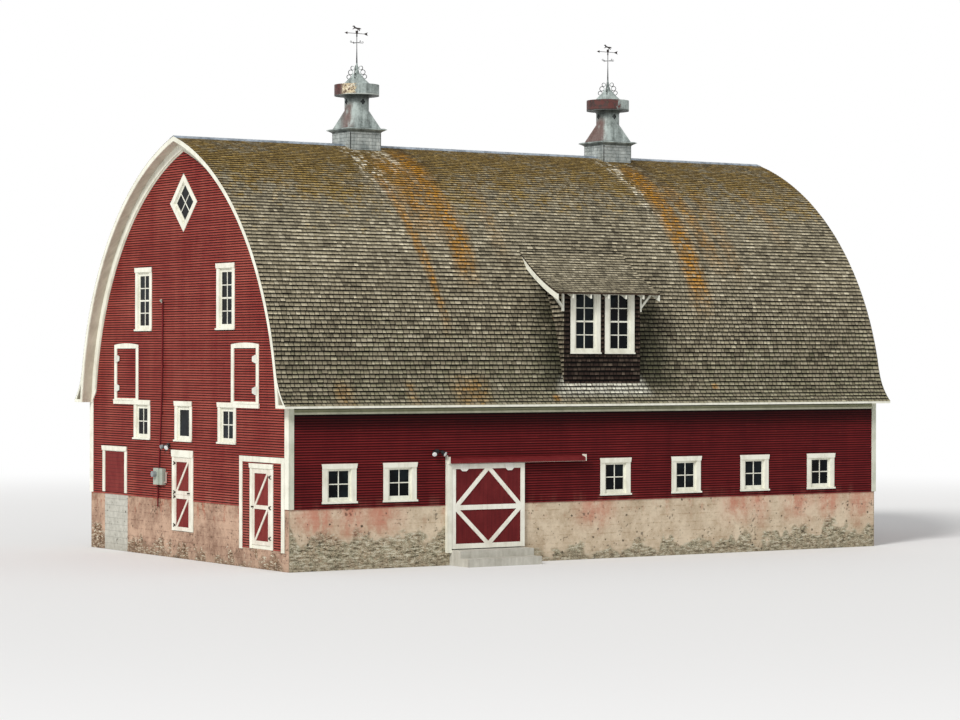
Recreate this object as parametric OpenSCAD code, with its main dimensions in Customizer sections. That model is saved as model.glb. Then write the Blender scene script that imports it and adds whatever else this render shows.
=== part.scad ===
// Gothic-arch barn on a rubble foundation, with a front dormer and two sheet-metal roof ventilators.
// Origin: centre of the barn at the lowest ground. X runs along the barn, the long front faces -Y,
// the gable with the two walk doors faces -X, and Z is up. All sizes are millimetres.
// Places on a wall are measured from its left end as seen from outside.

/* [Building] */
// Length of the barn along the ridge
barn_length = 20500; // [19000:50:23000]
// Width of the barn across the gable
barn_width = 12190; // [11600:10:12800]
// Top of the foundation above the lowest ground
foundation_top = 1670; // [1500:10:1800]
// Thickness of the foundation walls
foundation_thickness = 350; // [300:10:450]
// Set-back of the foundation face behind the siding
foundation_setback = 15; // [5:1:30]
// Ground floor level above the lowest ground
floor_level = 430; // [300:10:450]
// Height of the framed walls, foundation top to eave
wall_height = 2700; // [2650:10:2900]
// Thickness of the framed walls
wall_thickness = 180; // [150:5:220]
// Thickness of the loft floor
loft_floor_thickness = 240; // [150:10:300]
// Drop of the loft floor below the eave
loft_floor_drop = 70; // [20:10:90]

/* [Roof] */
// Rise of the roof's apex above the eave
arch_rise = 7625; // [7500:5:7800]
// Radius of each side of the pointed arch
arch_radius = 8580; // [8500:10:8700]
// Reach of the arch's foot beyond the wall face
arch_foot_reach = 15; // [5:1:30]
// Thickness of the roof shell
roof_thickness = 130; // [110:5:160]
// Overhang of the roof at the gable with the doors
door_gable_overhang = 350; // [250:10:450]
// Overhang of the roof at the far gable
far_gable_overhang = 260; // [200:10:450]
// Reach of the flared eave beyond the wall face
flare_reach = 405; // [360:5:450]
// Height of the flare above the eave
flare_height = 950; // [850:10:1050]
// Radius of the flare's hollow curve
flare_radius = 1780; // [1600:10:2200]
// Thickness of the flare's sprocket boards
flare_thickness = 60; // [40:5:80]
// Thickness of the rake boards
rake_board_thickness = 30; // [20:1:40]
// Height of the closed foot of each rake
rake_foot_height = 90; // [70:5:120]
// Height of the eave board under the flare
eave_board_height = 60; // [40:5:60]
// Height of the frieze board under the eave
frieze_height = 110; // [80:5:140]
// Height of the moulding under the frieze
bead_height = 70; // [50:5:90]
// Half width of the ridge cap
ridge_cap_half = 230; // [150:5:300]
// Thickness of the ridge cap
ridge_cap_thickness = 22; // [15:1:30]

/* [Corner boards] */
// Width of a corner board on the long walls
corner_front_width = 140; // [110:5:180]
// Width of a corner board on the gables
corner_gable_width = 205; // [150:5:210]
// Thickness of the trim boards
trim_thickness = 25; // [18:1:32]

/* [Windows] */
// Width of a window casing on its outer edges
casing_outer = 1060; // [980:5:1100]
// Width of the casing boards at the sides
casing_width = 155; // [120:5:180]
// Height of the crown head over a window, with splayed ends
crown_height = 135; // [100:5:160]
// Splay of each end of a crown head
crown_splay = 28; // [15:1:40]
// Thickness of a window sill
sill_thickness = 50; // [35:5:60]
// Thickness of the jamb linings
jamb_thickness = 16; // [12:1:30]
// Bottom of the front windows above the foundation
front_sill_height = 130; // [100:5:250]
// Height of a front window over its casing
front_window_height = 1070; // [950:10:1150]
// Place of the first window of the pair left of the sliding door
pair_first = 1545; // [1400:5:1700]
// Spacing of that pair
pair_spacing = 1915; // [1800:5:2050]
// Place of the first window right of the sliding door
row_first = 10710; // [10650:5:10900]
// Spacing of the row right of the sliding door
row_spacing = 2543; // [2400:1:2600]
// Number of windows in the row right of the sliding door
row_count = 4; // [1:1:4]
// Number of windows in the back wall
back_count = 7; // [3:1:7]
// Depth of the glass behind the wall face
glass_depth = 50; // [40:5:100]
// Thickness of the glass
glass_thickness = 6; // [4:1:8]
// Width of the sash stiles
sash_width = 50; // [35:1:60]
// Width of a sash's bottom rail
sash_bottom = 95; // [60:5:110]
// Width of the top rail of a front window
front_sash_top = 45; // [35:5:110]
// Width of the top rail of a gable window
gable_sash_top = 95; // [35:5:110]
// Bottom of the low gable windows above the foundation
low_sill_height = 1660; // [1550:10:1660]
// Height of a low gable window over its casing
low_window_height = 1150; // [1000:10:1160]
// Distance of the outer low gable windows from the gable's middle
low_window_offset = 2620; // [2450:10:2700]
// Bottom of the tall gable windows above the foundation
tall_sill_height = 4820; // [4700:10:4900]
// Height of a tall gable window over its casing
tall_window_height = 1850; // [1700:10:1950]
// Distance of the tall gable windows from the gable's middle
tall_window_offset = 2530; // [2400:10:2600]
// Height of the diamond window's centre above the foundation
diamond_height = 8450; // [8300:10:8500]
// Outer side of the diamond window
diamond_side = 1170; // [1050:5:1200]

/* [Loft and blind doors] */
// Bottom of the loft doors above the foundation
loft_door_sill = 2675; // [2675:5:2700]
// Height of a loft door over its frame
loft_door_height = 1790; // [1700:10:1850]
// Width of a loft door over its frame
loft_door_width = 1580; // [1450:10:1620]
// Distance of the loft doors from the gable's middle
loft_door_offset = 3655; // [3600:5:3750]
// Width of the loft door's frame boards
loft_frame_width = 155; // [120:5:180]
// Rise of the loft door's arched head
loft_head_rise = 45; // [30:5:60]
// Reach of the hinge plates over the loft door's leaf
loft_plate_reach = 190; // [150:10:220]
// Place of the blind door
blind_door_place = 1690; // [1500:10:1800]
// Width of the blind door over its casing
blind_door_width = 1620; // [1450:10:1700]
// Height of the blind door over its casing
blind_door_height = 1370; // [1200:10:1400]

/* [Walk doors] */
// Width of a walk door's leaf
leaf_width = 1000; // [900:5:1010]
// Thickness of the boards of a leaf
leaf_board = 25; // [20:1:30]
// Thickness of the rails and braces on a leaf
leaf_rail = 20; // [15:1:25]
// Width of the stiles and rails
rail_width = 110; // [90:5:130]
// Gap round a closed leaf
door_gap = 5; // [5:0.5:8]
// Width of the casing round a walk door
door_casing = 145; // [120:5:160]
// Height of the middle door's head board with its cap
middle_head_board = 220; // [150:5:225]
// Height of the corner door's head board with its cap
corner_head_board = 145; // [120:5:150]
// Thickness of the door linings
lining_board = 30; // [20:1:35]
// Distance of the middle door, which is cut in two leaves, left of the gable's middle
middle_door_shift = 38; // [-100:1:150]
// Bottom of the middle door
middle_door_bottom = 790; // [760:5:850]
// Height of the middle door
middle_door_height = 2070; // [2000:5:2100]
// Height of the lower leaf of the middle door
lower_leaf_height = 1022; // [950:1:1100]
// Distance of the corner door from the gable's right corner
corner_door_inset = 1490; // [1440:5:1540]
// Bottom of the corner door
corner_door_bottom = 650; // [620:5:700]
// Height of the corner door
corner_door_height = 2050; // [1950:5:2080]
// Distance of the left edge of the boarded bay round the corner door from the corner
bay_left_inset = 2740; // [2690:5:2790]
// Distance of the bay's right edge from the corner
bay_right_inset = 220; // [210:5:230]
// Bottom of the boarded bay below the foundation's top
bay_drop = 1130; // [1100:5:1150]
// Top of the boarded bay above the foundation
bay_rise = 1370; // [1340:5:1410]
// Width of the white boards round the bay
bay_board = 170; // [140:5:180]
// Radius of the hinge knuckles
knuckle_radius = 10; // [9:0.5:12]
// Radius of the hinge pins
hinge_pin_radius = 4.7; // [4:0.1:5.5]
// Play of a turning piece on its pin
pin_play = 0.3; // [0.2:0.05:0.4]

/* [Sliding door] */
// Left edge of the sliding door
slider_left = 5095; // [5050:5:5150]
// Width of the sliding door
slider_width = 2430; // [2300:5:2440]
// Bottom of the sliding door
slider_bottom = 452; // [450:1:470]
// Height of the sliding door
slider_height = 2340; // [2250:5:2345]
// Width of the sliding door's rails and braces
slider_rail = 136; // [110:2:150]
// Travel of the sliding door
slider_travel = 2150; // [1800:10:2160]
// Overlap of the sliding door over the doorway's sides
slider_lap = 75; // [50:5:100]
// Gap between the wall's casing and the sliding door
slider_gap = 10; // [8:1:20]
// Left end of the track and its hood
hood_left = 4980; // [4970:5:4990]
// Right end of the track and its hood
hood_right = 9545; // [9500:5:9700]
// Height of the hood's front board
hood_height = 165; // [165:5:200]
// Depth of the hood from the wall
hood_depth = 190; // [180:5:230]
// Radius of the hanger wheels
wheel_radius = 35; // [30:1:36]
// Left edge of the jamb post
post_left = 4935; // [4900:5:4945]
// Bottom of the jamb post
post_bottom = 350; // [200:10:400]

/* [Door step] */
// Rise of each step
step_rise = 205; // [180:5:210]
// Depth of the upper step from the foundation face
upper_step_depth = 560; // [450:10:650]
// Tread of the lower step
lower_step_tread = 400; // [300:10:450]

/* [Dormer] */
// Width of the dormer over its walls
dormer_width = 2660; // [2600:10:2800]
// Side overhang of the dormer roof
dormer_side_overhang = 465; // [350:5:500]
// Set-back of the dormer's front from the barn's wall face
dormer_setback = 0; // [-20:5:40]
// Thickness of the dormer walls
dormer_wall = 120; // [100:5:140]
// Underside of the dormer roof at its eave, above the windows' sills
dormer_head = 1690; // [1670:5:1710]
// Slope of the dormer roof at its eave; its hollow curve steepens up to the barn's roof
dormer_slope = 22.5; // [20:0.5:24]
// Radius of the dormer roof's hollow curve
dormer_roof_radius = 6800; // [6400:50:7600]
// Front overhang of the dormer roof
dormer_front_overhang = 335; // [300:5:380]
// Thickness of the dormer roof deck
dormer_deck = 60; // [45:5:80]
// Width of a dormer window casing
dormer_window_width = 1040; // [950:10:1060]
// Spacing of the two dormer windows
dormer_window_spacing = 1200; // [1180:10:1220]
// Bottom of the dormer windows above the top of the roof's flare
dormer_sill = 530; // [500:5:560]
// Height of a dormer window over its casing
dormer_window_height = 1800; // [1740:10:1805]
// Width of the dormer casing boards at a window's sides
dormer_casing = 150; // [120:5:170]
// Width of the dormer casing boards over and under a window
dormer_casing_head = 60; // [50:5:80]
dormer_casing_foot = 105; // [90:5:130]
// Spacing of the rafter tails
tail_spacing = 616; // [550:2:640]
// Depth of the rafter tails under the deck
tail_depth = 130; // [100:5:150]
// Thickness of the dormer's barge boards
barge_board = 40; // [30:2:50]
// Depth of the barge boards under the deck
barge_depth = 170; // [140:5:190]
// Height of the knee brackets
bracket_height = 630; // [540:10:680]
// Width of the bars of a knee bracket
bracket_bar = 60; // [45:5:70]

/* [Ventilators] */
// Distance of each ventilator from the barn's middle
ventilator_offset = 4560; // [4200:10:5000]
// Side of the square base
base_side = 1050; // [950:10:1100]
// Top of the base above the roof's apex
base_rise = 345; // [300:5:400]
// Height of the cornice
cornice_height = 130; // [100:5:160]
// Side of the cornice
cornice_side = 1310; // [1200:10:1350]
// Height of the flared body
flare_body_height = 545; // [450:5:600]
// Radius of the neck
neck_radius = 360; // [320:5:400]
// Height of the neck
neck_height = 440; // [380:5:480]
// Radius of the drum
drum_radius = 662; // [600:2:700]
// Height of the drum
drum_height = 315; // [280:5:360]
// Radius of the hollow cap where it leaves the drum
cap_radius = 405; // [370:5:430]
// Height of the hollow cap
cap_height = 320; // [290:5:340]
// Radius of the spire's foot
spire_radius = 110; // [100:5:125]
// Height of the spire
spire_height = 330; // [300:5:380]
// Radius of the rod's foot
rod_foot_radius = 22; // [18:1:28]
// Radius of the rod where the vane turns
rod_radius = 11; // [9:0.5:13]
// Height of the rod above the spire
rod_height = 940; // [860:10:980]
// Height of the direction arms above the spire
arms_height = 600; // [540:10:640]
// Reach of each direction arm
arm_reach = 200; // [160:10:240]
// Half length of the vane's arrow
arrow_half = 360; // [300:10:400]
// Thickness of the vane's plates
vane_plate = 8; // [6:1:12]
// Thickness of the scrolls
scroll_plate = 14; // [10:1:18]

/* [Gable trim] */
// Width of the frieze boards on the gables, under the soffit
gable_frieze_width = 270; // [200:10:300]
// Width of the bead along the frieze
gable_bead_width = 70; // [40:5:90]
// Rise of the corner boards over the eave
frieze_foot = 60; // [40:5:90]

/* [Fittings] */
// Distance of the meter box's left edge from the gable's middle
meter_shift = 1620; // [1500:10:1700]
// Bottom of the meter box above the foundation
meter_height = 390; // [350:10:450]
// Width of the meter box
meter_width = 325; // [280:5:360]
// Width of the switch box beside it
switch_width = 190; // [150:5:220]
// Height of both boxes
meter_tall = 475; // [420:5:520]
// Depth of the meter box
meter_depth = 150; // [120:5:180]
// Depth of the switch box
switch_depth = 124; // [100:2:150]
// Radius of the conduit
conduit_radius = 22; // [16:1:26]
// Distance of the conduit off the wall, to its middle
conduit_off = 48; // [40:1:60]
// Distance of the service head left of the gable's middle
service_head_shift = 1240; // [1180:10:1300]
// Height of the service head above the foundation
service_head_height = 5660; // [5400:10:5800]
// Height of the bend in the conduit above the foundation
conduit_bend_height = 3000; // [2800:10:3200]
// Distance of the gable's flood lights from its middle
gable_lights_shift = 895; // [850:5:950]
// Height of the flood lights above the foundation
flood_light_height = 1545; // [1480:5:1600]
// Distance of the front's flood lights from the sliding door
front_lights_gap = 460; // [420:5:520]
// Drop of the front's flood lights below those of the gable
front_lights_drop = 60; // [0:5:100]
// Half spacing of a pair of flood lights
flood_spread = 125; // [100:5:150]

/* [Hidden] */

// Seating gap between curved faces, and the margin by which a cut passes a face
seat_gap = 0.3;
seat_lift = 1;
flare_lift = 1.5;
cut = 5;
arc_fn = 720;
$fn = 48;

eave_height = foundation_top + wall_height;
apex_height = eave_height + arch_rise;
half_width = barn_width / 2;
arch_foot = half_width + arch_foot_reach;

// The arch: each side is one arc from its foot at the eave to the apex over the middle
foot_point = [arch_foot, eave_height];
apex_point = [0, apex_height];
chord_vector = foot_point - apex_point;
chord_length = norm(chord_vector);
arch_centre = (foot_point + apex_point) / 2 + sqrt(pow(arch_radius, 2) - pow(chord_length, 2) / 4)
  * [chord_vector.y, -chord_vector.x] / chord_length;
function arch_reach(z, inset = 0) =
  arch_centre.x + sqrt(pow(arch_radius - inset, 2) - pow(z - arch_centre.y, 2));
function arch_top(s, inset = 0) =
  arch_centre.y + sqrt(pow(arch_radius - inset, 2) - pow(s - arch_centre.x, 2));

// Points on the arch from s0 to s1, lifted so that the flats between them clear the arc
function seat_points(s0, s1, n, lift = seat_lift) =
  let (r = arch_radius + lift, a0 = acos((s0 - arch_centre.x) / r), a1 = acos((s1 - arch_centre.x) / r))
  [for (i = [0 : n]) let (a = a0 + (a1 - a0) * i / n) arch_centre + r * [cos(a), sin(a)]];

// The flare: a hollow arc from the roof's surface to the tip of the eave
flare_bottom = eave_height + eave_board_height;
flare_top = eave_height + flare_height;
flare_start = [arch_reach(flare_top, -4), flare_top];
flare_tip = [half_width + flare_reach, flare_bottom];
flare_chord = flare_tip - flare_start;
flare_centre = (flare_start + flare_tip) / 2 + sqrt(pow(flare_radius, 2) - pow(norm(flare_chord), 2) / 4)
  * [-flare_chord.y, flare_chord.x] / norm(flare_chord);

roof_left = -barn_length / 2 - door_gable_overhang;
roof_right = barn_length / 2 + far_gable_overhang;
shell_left = roof_left + rake_board_thickness;
shell_right = roof_right - rake_board_thickness;

// Wall frames: x from the wall's left end seen from outside, y into the barn
module on_front() { translate([-barn_length / 2, -barn_width / 2, 0]) children(); }
module on_back() { rotate(180) on_front() children(); }
module on_door_gable() { rotate(-90) translate([-barn_width / 2, -barn_length / 2, 0]) children(); }
module on_far_gable() { rotate(90) translate([-barn_width / 2, -barn_length / 2, 0]) children(); }

// A drawing in a wall's face, x along it and y up, given a depth from y0 to y1 into the barn
module in_wall(y0, y1) { translate([0, y1, 0]) rotate([90, 0, 0]) linear_extrude(y1 - y0) children(); }

// A drawing of the cross-section, across and up, carried along the barn from x0 to x1
module along_barn(x0, x1) { translate([x0, 0, 0]) rotate([90, 0, 90]) linear_extrude(x1 - x0) children(); }

module block(low, high) { translate(low) cube(high - low); }

module rect(low, high) { translate(low) square(high - low); }

module both_sides() { children(); mirror([1, 0]) children(); }

// Places
gable_middle = barn_width / 2;
wall_inner = wall_thickness;
trim_face = -trim_thickness;
front_window_places = concat([for (i = [0 : 1]) pair_first + i * pair_spacing],
  [for (i = [0 : row_count - 1]) row_first + i * row_spacing]);
back_window_places = [for (i = [0 : back_count - 1])
  barn_length / 2 + (i - (back_count - 1) / 2) * row_spacing];
low_window_places = [for (i = [-1 : 1]) gable_middle + i * low_window_offset];
tall_window_places = [for (i = [-1, 1]) gable_middle + i * tall_window_offset];
loft_door_places = [for (i = [-1, 1]) gable_middle + i * loft_door_offset];
hole_width = casing_outer - 2 * casing_width;
middle_door_place = gable_middle - middle_door_shift;
corner_door_place = barn_width - corner_door_inset;
bay_left = barn_width - bay_left_inset;
bay_right = barn_width - bay_right_inset;
bay_top = foundation_top + bay_rise;

front_window_z = foundation_top + front_sill_height;
low_window_z = foundation_top + low_sill_height;
tall_window_z = foundation_top + tall_sill_height;
loft_door_z = foundation_top + loft_door_sill;
loft_board_top = low_window_z + low_window_height;
loft_leaf_bottom = loft_board_top + 40;
loft_door_top = loft_door_z + loft_door_height;
loft_leaf_top = loft_door_top - loft_head_rise - 105;
diamond_z = foundation_top + diamond_height;

// Doorways: the wall is cut for the lining, and the leaf stands inside it
leaf_hole = leaf_width + 2 * door_gap;
doorway_width = leaf_hole + 2 * lining_board;
middle_door_top = middle_door_bottom + middle_door_height;
corner_door_top = corner_door_bottom + corner_door_height;
middle_sill_top = middle_door_bottom - door_gap;
corner_sill_top = corner_door_bottom - door_gap;
middle_head = middle_door_top + door_gap + lining_board;
corner_head = corner_door_top + door_gap + lining_board;
gable_split = max(middle_head, bay_top) + 40;
leaf_face = trim_face;
leaf_back = leaf_face + leaf_rail + leaf_board;

slider_right = slider_left + slider_width;
slider_top = slider_bottom + slider_height;
slider_back = trim_face - slider_gap;
slider_front = slider_back - leaf_board - leaf_rail;
doorway_left = slider_left + slider_lap;
doorway_right = slider_right - slider_lap;
doorway_head = slider_top - 60;

bay_low = foundation_top - bay_drop;

// Foundation
module foundation_front() {
  color([0.72, 0.62, 0.53]) on_front() {
    block([foundation_setback, foundation_setback, 0],
      [doorway_left, foundation_thickness, foundation_top]);
    block([doorway_right, foundation_setback, 0],
      [barn_length - foundation_setback, foundation_thickness, foundation_top]);
  }
}

module foundation_back() {
  color([0.72, 0.62, 0.53]) on_back()
    block([foundation_setback, foundation_setback, 0],
      [barn_length - foundation_setback, foundation_thickness, foundation_top]);
}

module foundation_door_gable() {
  color([0.68, 0.52, 0.42]) on_door_gable() {
    block([foundation_thickness, foundation_setback, 0],
      [middle_door_place - doorway_width / 2, foundation_thickness, foundation_top]);
    block([middle_door_place + doorway_width / 2, foundation_setback, 0],
      [bay_left + bay_board, foundation_thickness, foundation_top]);
  }
}

module foundation_far_gable() {
  color([0.70, 0.58, 0.48]) on_far_gable()
    block([foundation_thickness, foundation_setback, 0],
      [barn_width - foundation_thickness, foundation_thickness, foundation_top]);
}

module door_sills() {
  color([0.62, 0.61, 0.58]) {
    on_door_gable() {
      block([middle_door_place - doorway_width / 2, foundation_setback, 0],
        [middle_door_place + doorway_width / 2, foundation_thickness, middle_sill_top]);
      block([bay_left + bay_board, foundation_setback, 0],
        [barn_width - foundation_thickness, foundation_thickness, bay_low]);
    }
    on_front()
      block([doorway_left, foundation_setback, 0], [doorway_right, foundation_thickness, floor_level]);
  }
}

module floor_slab() {
  color([0.58, 0.57, 0.54])
    block([-barn_length / 2 + foundation_thickness, -half_width + foundation_thickness, 0],
      [barn_length / 2 - foundation_thickness, half_width - foundation_thickness, floor_level]);
}

module loft_floor() {
  loft_top = eave_height - loft_floor_drop;
  color([0.62, 0.50, 0.36])
    block([-barn_length / 2 + wall_inner, -half_width + wall_inner, loft_top - loft_floor_thickness],
      [barn_length / 2 - wall_inner, half_width - wall_inner, loft_top]);
}

// Drawings of the holes in a wall, one for each kind of window
module window_hole(place, z, height) {
  rect([place - hole_width / 2, z + sill_thickness], [place + hole_width / 2, z + height - crown_height]);
}

module diamond_hole() {
  side = diamond_side - 2 * casing_width;
  translate([gable_middle, diamond_z]) rotate(45) square(side, center = true);
}

module loft_door_hole(place) {
  rect([place - loft_door_width / 2 + loft_frame_width, loft_leaf_bottom],
    [place + loft_door_width / 2 - loft_frame_width, loft_leaf_top]);
}

// Walls
module front_wall() {
  color([0.42, 0.10, 0.12]) on_front() {
    in_wall(0, wall_inner) difference() {
      rect([wall_inner, foundation_top], [doorway_left, eave_height]);
      for (place = front_window_places) window_hole(place, front_window_z, front_window_height);
    }
    in_wall(0, wall_inner) difference() {
      rect([doorway_right, foundation_top], [barn_length - wall_inner, eave_height]);
      for (place = front_window_places) window_hole(place, front_window_z, front_window_height);
    }
  }
}

module front_wall_over_door() {
  color([0.42, 0.10, 0.12]) on_front()
    block([doorway_left, 0, doorway_head], [doorway_right, wall_inner, eave_height]);
}

module back_wall() {
  color([0.42, 0.10, 0.12]) on_back() in_wall(0, wall_inner) difference() {
    rect([wall_inner, foundation_top], [barn_length - wall_inner, eave_height]);
    for (place = back_window_places) window_hole(place, front_window_z, front_window_height);
  }
}

module door_gable_wall_lower() {
  color([0.55, 0.16, 0.15]) on_door_gable() {
    block([0, 0, foundation_top], [middle_door_place - doorway_width / 2, wall_inner, gable_split]);
    block([middle_door_place + doorway_width / 2, 0, foundation_top],
      [bay_left + bay_board, wall_inner, gable_split]);
  }
}

// One side of the gable's outline: the arch's inner face, from the middle outwards
module arch_side(inset = 0, bottom = eave_height) {
  intersection() {
    translate(arch_centre) circle(r = arch_radius - inset, $fn = arc_fn);
    rect([0, bottom], [half_width + 2000, apex_height + 500]);
  }
}

module gable_outline(bottom) {
  translate([gable_middle, 0]) both_sides() arch_side(roof_thickness + seat_gap);
  rect([0, bottom], [barn_width, eave_height]);
}

module gable_holes() {
  for (place = low_window_places) window_hole(place, low_window_z, low_window_height);
  for (place = tall_window_places) window_hole(place, tall_window_z, tall_window_height);
  diamond_hole();
}

module door_gable_wall_upper() {
  color([0.55, 0.16, 0.15]) on_door_gable() in_wall(0, wall_inner) difference() {
    gable_outline(gable_split);
    gable_holes();
    for (place = loft_door_places) loft_door_hole(place);
  }
}

module far_gable_wall() {
  color([0.50, 0.14, 0.14]) on_far_gable() in_wall(0, wall_inner) difference() {
    gable_outline(foundation_top);
    gable_holes();
  }
}

// The boarded bay round the corner door: two panels, with white boards round them
module corner_door_bay() {
  door_left = corner_door_place - doorway_width / 2;
  door_right = corner_door_place + doorway_width / 2;
  color([0.55, 0.16, 0.15]) on_door_gable() {
    block([bay_left + bay_board, 0, bay_low], [door_left, wall_inner, gable_split]);
    block([door_right, 0, bay_low], [barn_width - foundation_thickness, wall_inner, foundation_top]);
    block([door_right, 0, foundation_top], [barn_width, wall_inner, gable_split]);
    block([door_left, 0, corner_head], [door_right, wall_inner, gable_split]);
  }
}

// Roof
module shell_profile() {
  difference() { arch_side(0); arch_side(roof_thickness); }
}

flare_steps = 12;
flare_angles = [for (p = [flare_start, flare_tip])
  (atan2(p.y - flare_centre.y, p.x - flare_centre.x) + 360) % 360];
function flare_point(i, r) =
  let (a = flare_angles[0] + (flare_angles[1] - flare_angles[0]) * i / flare_steps)
  flare_centre + r * [cos(a), sin(a)];

// The boards' inner face, held off the shell where it would sink into it
function flare_inner(i) =
  let (p = flare_point(i, flare_radius + flare_thickness), d = norm(p - arch_centre))
  d > arch_radius + seat_lift ? p : arch_centre + (p - arch_centre) * (arch_radius + seat_lift) / d;

module flare_profile() {
  tip_inner = flare_inner(flare_steps);
  last = flare_inner(flare_steps - 1);
  t = (flare_bottom - last.y) / (tip_inner.y - last.y);
  polygon(concat([for (i = [0 : flare_steps]) flare_point(i, flare_radius)],
    [last + (tip_inner - last) * t], [for (i = [flare_steps - 1 : -1 : 0]) flare_inner(i)]));
}

module roof_profile() {
  shell_profile();
  flare_profile();
}

dormer_left = -dormer_width / 2;
dormer_right = dormer_width / 2;
dormer_front = half_width - dormer_setback;
dormer_back = dormer_front - dormer_wall;
dormer_tip = dormer_front + dormer_front_overhang;
dormer_sill_z = flare_top + dormer_sill;
dormer_curve = [dormer_tip + dormer_roof_radius * sin(dormer_slope),
  dormer_sill_z + dormer_head + dormer_roof_radius * cos(dormer_slope)];

// The height of the dormer roof's underside at a distance from the barn's middle
dormer_stations = [for (i = [0 : 14]) dormer_tip - 150 * (14 - i)];
dormer_table = [for (s = dormer_stations)
  [s, dormer_curve.y - sqrt(pow(dormer_roof_radius, 2) - pow(dormer_curve.x - s, 2))]];
function dormer_under(s) = lookup(s, dormer_table);

// Points along the underside from s0 to s1, each raised by a height
function under_points(s0, s1, raise) = let (inner = [for (s = dormer_stations)
    if (s > min(s0, s1) + 1 && s < max(s0, s1) - 1) s], n = len(inner))
  [for (s = concat([s0], s0 < s1 ? inner : [for (i = [1 : 1 : n]) inner[n - i]], [s1]))
    [s, dormer_under(s) + raise]];
dormer_head_z = dormer_under(dormer_front);
dormer_light_half = dormer_window_width / 2 - dormer_casing;
dormer_edge = dormer_right + dormer_side_overhang;

module dormer_opening() {
  hole_top = arch_top(dormer_back - 1000);
  block([dormer_left + dormer_wall, -arch_foot, arch_top(dormer_back) + 40],
    [dormer_right - dormer_wall, -dormer_back + 1000, hole_top]);
}

module roof_front() {
  color([0.45, 0.42, 0.36]) difference() {
    along_barn(shell_left, shell_right) mirror([1, 0]) roof_profile();
    dormer_opening();
  }
}

module roof_back() {
  color([0.45, 0.42, 0.36]) along_barn(shell_left, shell_right) roof_profile();
}

module ridge_cap() {
  color([0.62, 0.65, 0.68]) difference() {
    along_barn(roof_left, roof_right) polygon([[0, arch_top(0, -seat_lift)],
      [ridge_cap_half, arch_top(ridge_cap_half, -2 * seat_lift)],
      [ridge_cap_half, arch_top(ridge_cap_half, -ridge_cap_thickness)],
      [0, arch_top(0, -ridge_cap_thickness)],
      [-ridge_cap_half, arch_top(ridge_cap_half, -ridge_cap_thickness)],
      [-ridge_cap_half, arch_top(ridge_cap_half, -2 * seat_lift)]]);
    for (side = [-1, 1])
      translate([side * ventilator_offset, 0, apex_height])
        cube([base_side + 2 * seat_gap, base_side, 1000], center = true);
  }
}

module rake_profile() {
  roof_profile();
  rect([arch_reach(eave_height, roof_thickness), eave_height],
    [flare_tip.x, eave_height + rake_foot_height]);
}

module rake_boards() {
  color([0.90, 0.88, 0.82]) {
    along_barn(roof_left, shell_left) both_sides() rake_profile();
    along_barn(shell_right, roof_right) both_sides() rake_profile();
  }
}

module eave_trim_side() {
  along_barn(shell_left, shell_right)
    rect([arch_foot + seat_gap, eave_height], [flare_tip.x + 10, flare_bottom]);
  board_left = -barn_length / 2 + corner_front_width;
  board_right = barn_length / 2 - corner_front_width;
  along_barn(board_left, board_right) {
    rect([half_width, eave_height - frieze_height], [half_width + trim_thickness, eave_height]);
    rect([half_width, eave_height - frieze_height - bead_height],
      [half_width + trim_thickness + 20, eave_height - frieze_height]);
  }
}

module eave_trim() {
  color([0.88, 0.86, 0.80]) {
    eave_trim_side();
    mirror([0, 1, 0]) eave_trim_side();
  }
}

// The two boards of one corner, wrapped round it, in the frame of the long wall's left end
module corner_pair(bottom) {
  difference() {
    block([trim_face, trim_face, bottom], [corner_front_width, corner_gable_width, eave_height]);
    block([0, 0, bottom - cut], [corner_front_width + cut, corner_gable_width + cut, eave_height + cut]);
  }
}

// A gable's frieze: a band along the arch, and a foot splayed in to the corner board
frieze_inset = roof_thickness + seat_gap;
frieze_edge = half_width - corner_gable_width;
frieze_splay = [130, 158];

module frieze_region(inset) {
  low = eave_height - 1;
  difference() {
    arch_side(frieze_inset, low);
    arch_side(inset, low - cut);
    translate([frieze_edge, eave_height + frieze_foot]) polygon([[0, -frieze_foot - cut], [0, 0],
      [-3 * frieze_splay.x, 3 * frieze_splay.y], [-3 * frieze_splay.x, -frieze_foot - cut]]);
  }
}

module frieze_bead() {
  inner = roof_thickness + gable_frieze_width;
  run = [gable_bead_width * 0.77, gable_bead_width * 0.63];
  difference() {
    frieze_region(inner);
    difference() {
      arch_side(inner - gable_bead_width, eave_height - cut);
      translate([frieze_edge, eave_height + frieze_foot]) polygon([[0, -frieze_foot - 2 * cut], [0, 0],
        [-3 * frieze_splay.x, 3 * frieze_splay.y], run + [-3 * frieze_splay.x, 3 * frieze_splay.y],
        run + [0, 0], [gable_bead_width, -frieze_foot - 2 * cut]]);
    }
  }
}

module gable_frieze() {
  in_wall(trim_face, 0) translate([gable_middle, 0]) both_sides()
    frieze_region(roof_thickness + gable_frieze_width);
  in_wall(trim_face - 20, trim_face) translate([gable_middle, 0]) both_sides() frieze_bead();
}

module corner_and_gable_trim() {
  color([0.90, 0.88, 0.82]) {
    for (turn = [0, 180]) rotate(turn) {
      on_front() corner_pair(foundation_top);
      mirror([1, 0, 0]) on_front() corner_pair(foundation_top);
    }
    on_door_gable() gable_frieze();
    on_far_gable() gable_frieze();
  }
}

// A window's frame: casing, crown head with splayed ends, sill, lining and a sash round an open light.
// Where a loft door's board runs in to the crown, that end is square.
module crown(left, right, bottom, top, square_end = 0) {
  in_wall(trim_face - 20, trim_face) polygon([
    [square_end < 0 ? left - crown_splay : left - 4, bottom],
    [square_end > 0 ? right + crown_splay : right + 4, bottom],
    [right + crown_splay, top], [left - crown_splay, top]]);
}

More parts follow.
